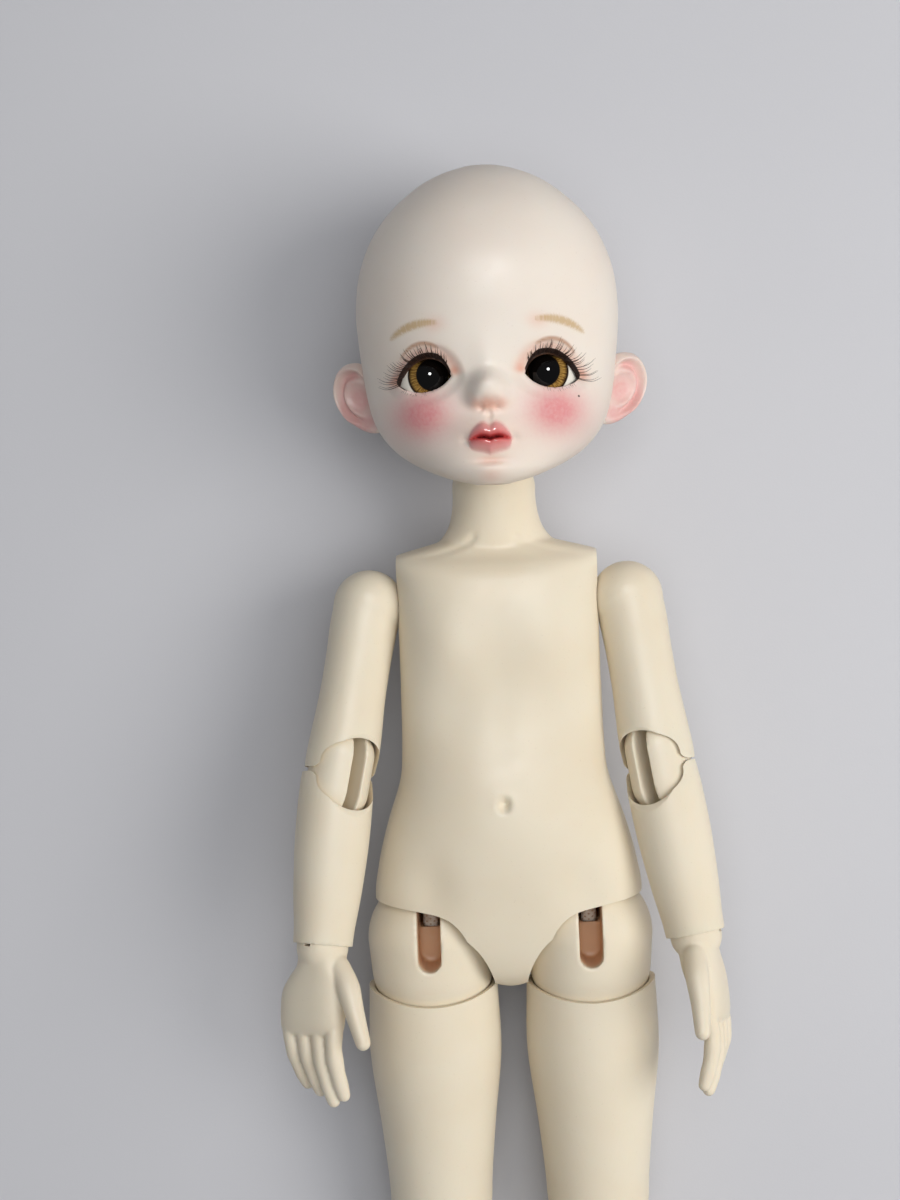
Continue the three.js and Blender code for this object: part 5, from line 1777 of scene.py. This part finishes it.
@dataclass(frozen=True)
class Ear:
    """One ear on the doll's left: a rim, a ridge within it, a bowl and a lobe."""

    centre: Point = (24.9, 18.3, 4.0)
    turn: float = 38.0
    lean: float = -12.0
    outline: Rows = (
        (0.8, 7.4),
        (3.6, 6.9),
        (5.8, 4.2),
        (6.2, 1.0),
        (5.0, -2.4),
        (2.8, -5.0),
        (-0.2, -6.9),
        (-2.8, -7.2),
        (-4.0, -5.6),
        (-4.4, -2.0),
        (-4.4, 2.5),
        (-2.2, 6.2),
    )

    def frame(self) -> Matrix:
        """From the ear's own plane to the head's frame."""
        return moved(*self.centre) @ turned("Z", self.lean) @ turned("Y", self.turn)

    def form(self, side: Side) -> Form:
        """Shapes the ear as a dished plate."""
        loop = smooth_loop(self.outline, 9)
        rim = 0.9 + 0.1 * np.sin(np.linspace(0.2, math.pi / 2, 7))
        shares = np.concatenate([np.linspace(0.03, 0.9, 30), rim])
        rings = []
        for rho in shares:
            a, b = (loop * rho).T
            rings.append(np.column_stack([a, b, self.height(a, b, rho)]))
        for rho in shares[::-1][1::2]:
            rings.append(np.column_stack([loop * rho, np.full(len(loop), -1.3 * self.edge(rho))]))
        return Form.of_rings(np.array(rings)).move(self.frame()).mirror(side is Side.RIGHT)

    @staticmethod
    def edge(rho: float) -> float:
        """Rounds the plate off at its outline."""
        return math.sqrt(max(0.0, 1 - max(0.0, (rho - 0.88) / 0.12) ** 2))

    def height(self, a: np.ndarray, b: np.ndarray, rho: float) -> np.ndarray:
        """How high the plate's front stands."""
        lobe = smoothstep(-3.2, -5.4, b)
        outer = smoothstep(-2.5, 1.5, a + 0.25 * b)
        rim = 1.15 * hump(rho, 0.86, 0.1) * (1 - 0.65 * lobe)
        groove = -0.55 * hump(rho, 0.68, 0.09) * (1 - lobe) * outer
        ridge = 0.75 * hump(rho, 0.5, 0.11) * outer * (1 - lobe)
        bowl = -1.25 * bell(a, b, -0.9, -0.4, 2.3, 2.6)
        tab = 0.8 * bell(a, b, -3.3, -0.8, 1.0, 1.2)
        return (0.75 + rim + groove + ridge + bowl + tab) * self.edge(rho)

    def flush(self, places: np.ndarray) -> np.ndarray:
        """How pink each place is: strongest in the ear's hollows and on its lobe."""
        mirrored = places * (np.sign(places[:, :1]) * (1, 0, 0) + (0, 1, 1))
        inverse = np.array(self.frame().inverted())
        a, b, w = (mirrored @ inverse[:3, :3].T + inverse[:3, 3]).T
        rho = np.hypot((a - 0.6) / 5.4, b / 7.2)
        near = (np.abs(w) < 3) & (rho < 1.1) & (mirrored[:, 0] > 20)
        hollow = hump(rho, 0.66, 0.14) * smoothstep(-2, 1, a) + hump(rho, 0.0, 0.42)
        lobe = smoothstep(-2.6, -5.0, b) * hump(rho, 0.75, 0.3)
        return np.where(near, np.clip(0.3 + 0.85 * hollow + 0.6 * lobe, 0, 1), 0.0)


@dataclass(frozen=True)
class Head:
    """The hollow head with its loose cap, magnets, hook and neck cord."""

    height: float = 62.5
    half_width: float = 25.3
    face_depth: float = 25.0
    skull_depth: float = 28.0
    ahead: float = 6.4
    chin_drop: float = 0.4
    wall: float = 2.6
    floor_rise: float = 11.0
    well_radius: float = 6.7
    lean: float = 19.8
    cap_ahead: float = 4.0
    magnet_rise: float = 36.0
    magnet_x: float = 20.0
    magnet_radius: float = 1.8
    magnet_start: float = 0.35
    boss_radius: float = 3.2
    boss_reach: float = 4.5
    seat_radius: float = 2.0
    seat_reach: float = 2.2
    well_depth: float = 8.7
    hook_slot: Sequence[float] = (4.4, 10.4)
    squareness: float = 2.15
    crowding: float = 0.55
    edge_angle: float = 42.0
    rows: Rows = (
        (0.0, 0.12, 0.1, 0.08, 0, 0.66),
        (0.018, 0.28, 0.23, 0.23, 0, 0.6),
        (0.042, 0.42, 0.42, 0.4, 0, 0.46),
        (0.075, 0.565, 0.65, 0.8, 0, 0.24),
        (0.105, 0.675, 0.785, 0.78, 0, 0.1),
        (0.13, 0.745, 0.85, 0.77, 0, 0.03),
        (0.155, 0.8, 0.885, 0.8, 0, 0),
        (0.185, 0.85, 0.895, 0.83, 0, 0),
        (0.225, 0.895, 0.905, 0.865, 0, 0),
        (0.27, 0.925, 0.915, 0.9, 0, 0),
        (0.31, 0.943, 0.925, 0.925, 0, 0),
        (0.35, 0.958, 0.94, 0.95, 0, 0),
        (0.4, 0.972, 0.96, 0.97, 0, 0),
        (0.46, 0.988, 0.98, 0.985, 0, 0),
        (0.55, 1.0, 1.0, 1.0, 0, 0),
        (0.66, 0.972, 0.985, 0.99, 0, 0),
        (0.76, 0.885, 0.915, 0.92, 0, 0),
        (0.84, 0.755, 0.805, 0.81, 0, 0),
        (0.91, 0.575, 0.63, 0.63, 0, 0),
        (0.955, 0.405, 0.445, 0.45, 0, 0),
        (0.988, 0.2, 0.22, 0.225, 0, 0),
        (1.0, 0.05, 0.05, 0.05, 0, 0),
    )
    swellings: Rows = (
        (2.7, 14.7, 1.2, 1.2, 0.7),
        (0, 20.5, 2.6, 4.8, 0.5),
        (1.4, 13.2, 0.7, 0.45, -0.6),
        (11.6, 21.0, 6.6, 5.2, -0.3),
        (13.7, 12.0, 6.6, 5.3, 1.25),
        (0, 9.3, 6.4, 3.1, 2.2),
        (0, 3.7, 3.2, 0.85, -0.5),
        (0, 1.3, 4.6, 2.1, 1.0),
        (0, 38.4, 15, 7.5, 0.5),
        (0, 12.0, 0.55, 1.3, -0.38),
        (4.6, 7.6, 0.9, 1.0, -0.3),
    )
    """Swellings and hollows: across, up, reach across and up, and how far each stands out."""
    nose: Sequence[float] = (16.5, 3.5, 3.1, 3.4)
    """The nose: up, reach across and up, and how far it stands out."""
    pinks: Rows = (
        (9.4, 28.9, 1.9, 1.3, 0.42),
        (17.2, 19.0, 1.3, 1.1, 0.6),
        (6.2, 20.2, 0.9, 0.9, 0.45),
        (0, 13.8, 2.6, 1.3, 0.9),
        (2.6, 14.0, 0.8, 0.9, 0.3),
        (0, 7.8, 5.2, 3.9, 0.36),
        (0, 3.7, 2.6, 0.8, 0.5),
        (-0.6, 0.8, 2.6, 1.5, 0.4),
    )
    """Soft flushes: across, up, reach across and up, and how strong each is."""
    brow_line: Rows = ((17.8, 27.0), (15.7, 28.8), (12.3, 29.6), (9.0, 29.1))
    crease_line: Rows = ((16.0, 23.3), (14.3, 25.9), (11.4, 26.3), (9.0, 24.7))
    speck: Sequence[float] = (16.6, 15.3)
    """Where the one painted speck lies, below the left eye's outer corner."""
    neck_loop: Rows = ((-2, -4, 0), (-2, 0, 0), (0, 2, 0), (2, 0, 0), (2, -4, 0))
    neck_loop_radius: float = 0.9
    hook_route: Rows = (
        (-4.4, 11.95, 0),
        (-2.2, 12.4, 0),
        (0, 11.5, 0),
        (0, 8.2, 0.925),
        (0, 4.1, 1.85),
        (0, 2, 1.85),
        (0, 0.15, 0),
        (0, 2, -1.85),
    )
    lids: Eyelids = Eyelids()
    lips: Lips = Lips()
    ear: Ear = Ear()

    def build(self, shop: Workshop) -> None:
        """Builds the head and all that it holds."""
        frame = shop.frames.head()
        skull = self.outer()
        rims = [self.lids.rim(skull.places(), curve) for curve in (self.lids.upper, self.lids.lower)]
        skull.join(self.ear.form(Side.LEFT), self.ear.form(Side.RIGHT))
        skull.cut(self.hollow())
        for side in Side:
            boss = self.plug(self.boss_radius, -self.boss_reach, self.boss_reach, side)
            skull.join(boss.act(Union.COMMON, self.shell(0.0, 48)))
        skull.cut(*self.openings())
        cap = skull.copy().act(Union.COMMON, self.cap_side(-JOINT_GAP / 2))
        skull.cut(self.cap_side(JOINT_GAP / 2))
        for form, name, body in ((skull, "head_face", "head"), (cap, "head_cap", "head_cap")):
            self.paint(form)
            shop.put(form, name, frame, body, "head_resin", shop.finishes.face, self.edge_angle)
        self.fit(shop, frame)
        for side in Side:
            Eye(self.lids, rims).build(shop, side)

    def shell(self, inset: float, sides: int, steps: int = 3, crowding: float = 0.0) -> Form:
        """The bare skull, drawn in by a wall."""
        front, back = self.face_depth - inset, self.skull_depth - inset
        size = Section(self.height - inset * 2, self.half_width - inset, front, back)
        place = moved(0, inset - self.chin_drop, self.ahead)
        return loft(self.rows, size, sides, steps, self.squareness, crowding).move(place)

    def outer(self) -> Form:
        """The head's outside with its whole face."""
        skull = self.shell(0.0, 288, 9, self.crowding)
        x, y, z = skull.places().T
        rise = self.lips.raise_face(x, y)
        for across, up, wide, tall, out in self.swellings:
            rise = rise + out * bell(np.abs(x), y, across, up, wide, tall)
        up, wide, tall, out = self.nose
        rise = rise + out * np.exp(-(((x / wide) ** 2 + ((y - up) / tall) ** 2) ** 1.5))
        z = z + rise * smoothstep(self.ahead, self.ahead + 5, z)
        z = self.lids.cover(np.abs(x), y, z)
        return skull.set_places(np.column_stack([x, y, z]))

    def hollow(self) -> Form:
        """The room inside the head, above its floor."""
        below = Form.block((76, self.height, 84), (0, self.floor_rise - self.height / 2, 0))
        return self.shell(self.wall, 56, 4).cut(below)

    def openings(self) -> list[Form]:
        """What is cut out for the eyes, the neck, the hook and the magnets."""
        neck, rise = BODY.neck_radius, self.floor_rise
        cutters = [
            Form.ball(neck + JOINT_GAP),
            Form.rod(neck + JOINT_GAP, Axis.Y, -neck, 0),
            Form.block((self.hook_slot[0], rise, self.hook_slot[1]), (0, rise / 2 + neck / 2, 0)),
        ]
        for side in Side:
            x, y, z = self.lids.centre
            place = (side.sign * x, y, z)
            well = Form.ball(self.well_radius, place)
            well.join(Form.rod(self.well_radius, Axis.Z, -self.well_depth, 0, place, 64))
            window = extruded(self.lids.outline() * (side.sign, 1), z, z + 25)
            seat = self.plug(self.seat_radius, -self.seat_reach, self.seat_reach, side)
            cutters += [well.join(window), seat]
        return cutters

    def cap_side(self, growth: float) -> Form:
        """All that lies on the cap's side of its joint face, grown forward by a length."""
        reach = self.height * 3
        place = moved(0, self.height - self.chin_drop, self.ahead + self.cap_ahead)
        return Form.block((reach, reach, reach), (0, 0, growth - reach / 2), place @ turned("X", self.lean))

    def joint_ahead(self, rise: np.ndarray | float) -> np.ndarray | float:
        """How far ahead the cap's joint face lies at a height."""
        drop = (self.height - self.chin_drop - rise) * math.tan(math.radians(self.lean))
        return self.ahead + self.cap_ahead - drop

    def plug(self, radius: float, start: float, end: float, side: Side) -> Form:
        """A round plug square to the cap's joint face."""
        place = moved(side.sign * self.magnet_x, self.magnet_rise, self.joint_ahead(self.magnet_rise))
        return Form.rod(radius, Axis.Z, start, end, sides=40).move(place @ turned("X", self.lean))

    def paint(self, form: Form) -> None:
        """Marks where each paint goes."""
        places = form.places()
        x, y, z = places.T
        wide = np.abs(x)
        away = np.full(len(x), FAR)
        crease = np.full(len(x), FAR)
        near = self.lids.about(wide, y) & (z > 8)
        away[near] = self.lids.reach(wide[near], y[near])
        above = smoothstep(-0.4, 0.9, y - self.lids.level(wide))
        width = 0.18 + 0.7 * above * smoothstep(6.4, 9.5, wide)
        below = (1 - above) * 0.9 * smoothstep(15.6, 13.5, wide)
        form.mark("lid", away - width + below)
        crease[near], share = curve_distance(wide[near], y[near], bezier(self.crease_line, 24))
        crease[near] += 0.22 * np.abs(share * 2 - 1) ** 3
        form.mark("crease", crease)
        brow, along = curve_distance(wide, y, bezier(self.brow_line, 24))
        taper = 0.28 + 0.6 * np.sin(math.pi * np.clip(along, 0.0, 1.0)) ** 0.6
        form.mark("brow", np.where(z > 8, brow - taper, FAR))
        form.mark("brow_along", along * 10 + x * 0.03)
        out, line = self.lips.marks(x, y)
        form.mark("lips", np.where(z > 14, out, FAR))
        form.mark("lip_line", np.where(z > 14, line, FAR))
        form.mark("speck", np.where(z > 8, np.hypot(x - self.speck[0], y - self.speck[1]), FAR))
        # The seam mark is the distance from the cap's joint face; the finish paints a thin line of shade
        # along it.
        form.mark("seam", np.abs(z - self.joint_ahead(y)) * math.cos(math.radians(self.lean)))
        front = smoothstep(8, 14, z)
        blush = np.minimum(1.15 * bell(wide, y, 12.4, 12.6, 5.6, 4.4), 1)
        form.mark("blush", blush * front + 0.66 * self.ear.flush(places))
        pink = np.where(near, 0.62 * above * hump(away, 1.1, 1.2), 0)
        for across, up, reach_x, reach_y, strength in self.pinks:
            pink = pink + front * strength * bell(wide, y, across, up, reach_x, reach_y)
        form.mark("peach", np.clip(pink, 0, 1))

    def fit(self, shop: Workshop, frame: Matrix) -> None:
        """Fits the neck's cord loop, the hook and the magnets."""
        loop = tube(self.neck_loop, [self.neck_loop_radius], 20, 12)
        shop.cord(loop, "neck_cord", frame, "neck_cord")
        shop.wire(tube(self.hook_route, [WIRE], 16, 10), "head_hook", frame)
        low, high = self.magnet_start, self.magnet_radius
        for side in Side:
            for name, start, end, body in (
                ("face_magnet", low, high, "head"),
                ("cap_magnet", -high, -low, "head_cap"),
            ):
                magnet = self.plug(self.magnet_radius, start, end, side).bevel(0.12)
                shop.put(magnet, f"{name}_{side.value}", frame, body, "magnet", shop.finishes.magnet, 40)


@dataclass(frozen=True)
class Eye:
    """A glass-look eye with its ring of putty and its lashes."""

    lids: Eyelids
    rims: Sequence[np.ndarray]
    radius: float = 6.5
    back: float = 2.05
    bulge: float = 0.75
    bulge_radius: float = 4.2
    gaze: Sequence[float] = (-1.35, 0.6, 6.3)
    hairs: int = 46
    lower_hairs: int = 16

    def build(self, shop: Workshop, side: Side) -> None:
        """Builds one eye."""
        x, y, z = self.lids.centre
        socket = shop.frames.head() @ moved(side.sign * x, y, z)
        label, finishes = side.value, shop.finishes
        shop.put(self.ball(side), f"eye_{label}", socket, "head", "eye", finishes.eye, 60)
        shop.put(self.putty(), f"eye_putty_{label}", socket, "head", "putty", finishes.putty)
        shop.put(self.lashes(side), f"eyelash_{label}", shop.frames.head(), "head", "lash", finishes.lash)

    def ball(self, side: Side) -> Form:
        """The eye's dome, flat behind, with a clear bulge over its iris."""
        eye = Form.ball(self.radius, sides=96)
        size = self.radius * 3
        eye.cut(Form.block((size, size, size), (0, 0, -self.back - size / 2)))
        places = eye.places()
        gaze = np.array(self.gaze) * (side.sign, 1, 1)
        gaze /= np.linalg.norm(gaze)
        depth = places @ gaze
        across = places - np.outer(depth, gaze)
        reach = np.linalg.norm(across, axis=1)
        dome = self.bulge * np.clip(1 - (reach / self.bulge_radius) ** 2, 0, 1) ** 1.5
        bulge = np.where(depth > 0, dome, 0)
        length = np.maximum(np.linalg.norm(places, axis=1, keepdims=True), 1e-6)
        eye.set_places(places + places / length * bulge[:, None])
        right = np.cross((0, 1, 0), gaze)
        turn = np.arctan2(across[:, 1], across @ right) / math.tau
        inward = -side.sign * places[:, 0]
        # The rise mark grows upward and towards the nose; the finish paints the lid's shadow by it.
        eye.mark("reach", np.where(depth > 0, reach, 9.0)).mark("rise", places[:, 1] + 0.55 * inward)
        return eye.mark("turn", np.abs(turn) * 2)

    def putty(self) -> Form:
        """A lumpy ring pressed behind the eye."""
        around, about = 72, 28
        turn = np.arange(around) / around * math.tau
        wobble = 1 + 0.03 * np.sin(3 * turn + 1) + 0.025 * np.sin(7 * turn + 2)
        rings, faces = [], []
        for k in range(about):
            angle = k / about * math.tau
            out, up = (math.copysign(abs(v) ** 0.6, v) for v in (math.cos(angle), math.sin(angle)))
            radius, rise = (4.15 + 0.95 * out) * wobble, -3.3 + 0.9 * up * (2 - wobble)
            rings.append(np.stack([radius * np.cos(turn), radius * np.sin(turn), rise], 1))
            faces += quads(k * around, (k + 1) % about * around, around)
        return Form.of_faces(np.vstack(rings).tolist(), faces)

    def lashes(self, side: Side) -> Form:
        """Upper lashes that fan outward from a dark band, and a few fine lower ones."""
        chance = np.random.default_rng(11 if side is Side.LEFT else 12)
        upper, lower = self.rims
        band = [upper[k] - (0, 0, 0.25) for k in range(3, 99, 8)]
        whole = tube(band, [0.1, 0.2, 0.24, 0.22, 0.1], 10, 6)
        parts = []
        for k in range(self.hairs):
            t = 0.14 + 0.85 * (k + chance.uniform(-0.4, 0.4)) / (self.hairs - 1)
            t = min(max(t, 0.12), 0.99)
            root = upper[round(t * 100)] - (0, 0, 0.1)
            out = -0.6 + 4.7 * t**1.35 + chance.normal(0, 0.3)
            rise = 2.7 * (1 - t**2.6) - 0.25 * t + chance.normal(0, 0.25)
            size = 0.55 + 0.5 * min(t / 0.6, 1) + chance.normal(0, 0.1)
            parts.append(self.hair(root, np.array([out, rise, 1.1]) * size, 0.075))
        for k in range(self.lower_hairs):
            t = 0.08 + 0.6 * (k + chance.uniform(-0.3, 0.3)) / (self.lower_hairs - 1)
            root = lower[round(t * 100)] - (0, 0, 0.1)
            drift = np.array([0.55 - 0.7 * t, -0.75, 0.45]) * (1 + chance.normal(0, 0.12))
            parts.append(self.hair(root, drift, 0.035))
        return whole.gather(*parts).mirror(side is Side.RIGHT)

    @staticmethod
    def hair(root: np.ndarray, drift: np.ndarray, radius: float) -> Form:
        """One tapered hair that curls as it rises."""
        curl = np.array([0.0, -0.22, 0.28]) * np.linalg.norm(drift)
        route = [root, root + drift * 0.35 + curl * 0.6, root + drift * 0.7 + curl * 0.7, root + drift]
        return tube(route, [radius, radius * 0.85, radius * 0.6, radius * 0.2], 6, 3)


# Studio

CHEST = (0.0, 0.05, 0.02)
"""What the lamps look at, in metres."""


@dataclass(frozen=True)
class Lamp:
    """One soft area light that looks at the doll's chest."""

    name: str
    place: Point
    size: float
    power: float
    colour: tuple[float, float, float]
    glossy: bool = True
    diffuse: bool = True

    def build(self) -> None:
        """Hangs the light."""
        data = bpy.data.lights.new(self.name, "AREA")
        data.shape = "DISK"
        data.size = self.size
        data.energy = self.power
        data.color = self.colour
        lamp = bpy.data.objects.new(self.name, data)
        bpy.context.scene.collection.objects.link(lamp)
        lamp.location = self.place
        lamp.visible_glossy = self.glossy
        lamp.visible_diffuse = self.diffuse
        aim = Vector(CHEST) - Vector(self.place)
        lamp.rotation_euler = aim.to_track_quat("-Z", "Y").to_euler()


@dataclass(frozen=True)
class Studio:
    """The camera above the table, the soft lights and the pale floor."""

    camera_place: Point = (0.004, 0.053, 0.42)
    camera_yaw: float = 1.93
    camera_roll: float = -2.1
    lens: float = 60.6
    sky: Colour = (0.86, 0.88, 0.92, 1.0)
    sky_strength: float = 0.2
    floor_size: float = 6.0
    lamps: tuple[Lamp, ...] = (
        Lamp("key", (0.52, 0.02, 0.55), 0.5, 3.5, (1.0, 0.985, 0.96), glossy=False),
        Lamp("fill", (0.1, 0.08, 0.9), 0.8, 3.3, (0.98, 0.99, 1.0), glossy=False),
        Lamp("glint", (0.06, 0.34, 0.75), 0.18, 4.2, (1.0, 1.0, 1.0), diffuse=False),
    )

    def build(self) -> None:
        """Sets the camera first, then the lights and the floor."""
        scene = bpy.context.scene
        data = bpy.data.cameras.new("camera")
        data.lens = self.lens
        data.sensor_width = 36.0
        data.clip_start = 0.01
        camera = bpy.data.objects.new("camera", data)
        scene.collection.objects.link(camera)
        camera.location = self.camera_place
        camera.rotation_euler = (0, math.radians(self.camera_yaw), math.radians(self.camera_roll))
        scene.camera = camera
        scene.view_settings.view_transform = "Standard"
        world = bpy.data.worlds.new("soft_room")
        world.use_nodes = True
        background = world.node_tree.nodes["Background"]
        background.inputs["Color"].default_value = self.sky
        background.inputs["Strength"].default_value = self.sky_strength
        scene.world = world
        for lamp in self.lamps:
            lamp.build()
        choose()
        bpy.ops.mesh.primitive_grid_add(x_subdivisions=16, y_subdivisions=16, size=self.floor_size)
        floor = bpy.context.object
        floor.name = "floor"
        floor.data.materials.append(FloorFinish().build())


def main() -> None:
    """Builds the studio and then the doll, one sub-assembly after another."""
    logging.basicConfig(level=logging.INFO, format="%(message)s")
    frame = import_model()
    Studio().build()
    shop = Workshop(Frames.of_joints(frame["joints"]), Finishes.build())
    Torso().build(shop)
    Head().build(shop)
    for side in Side:
        HipPiece().build(shop, side)
        Leg().build(shop, side)
        Arm().build(shop, side)
    log.info("%d pieces", len(shop.made))


if __name__ == "__main__":
    main()
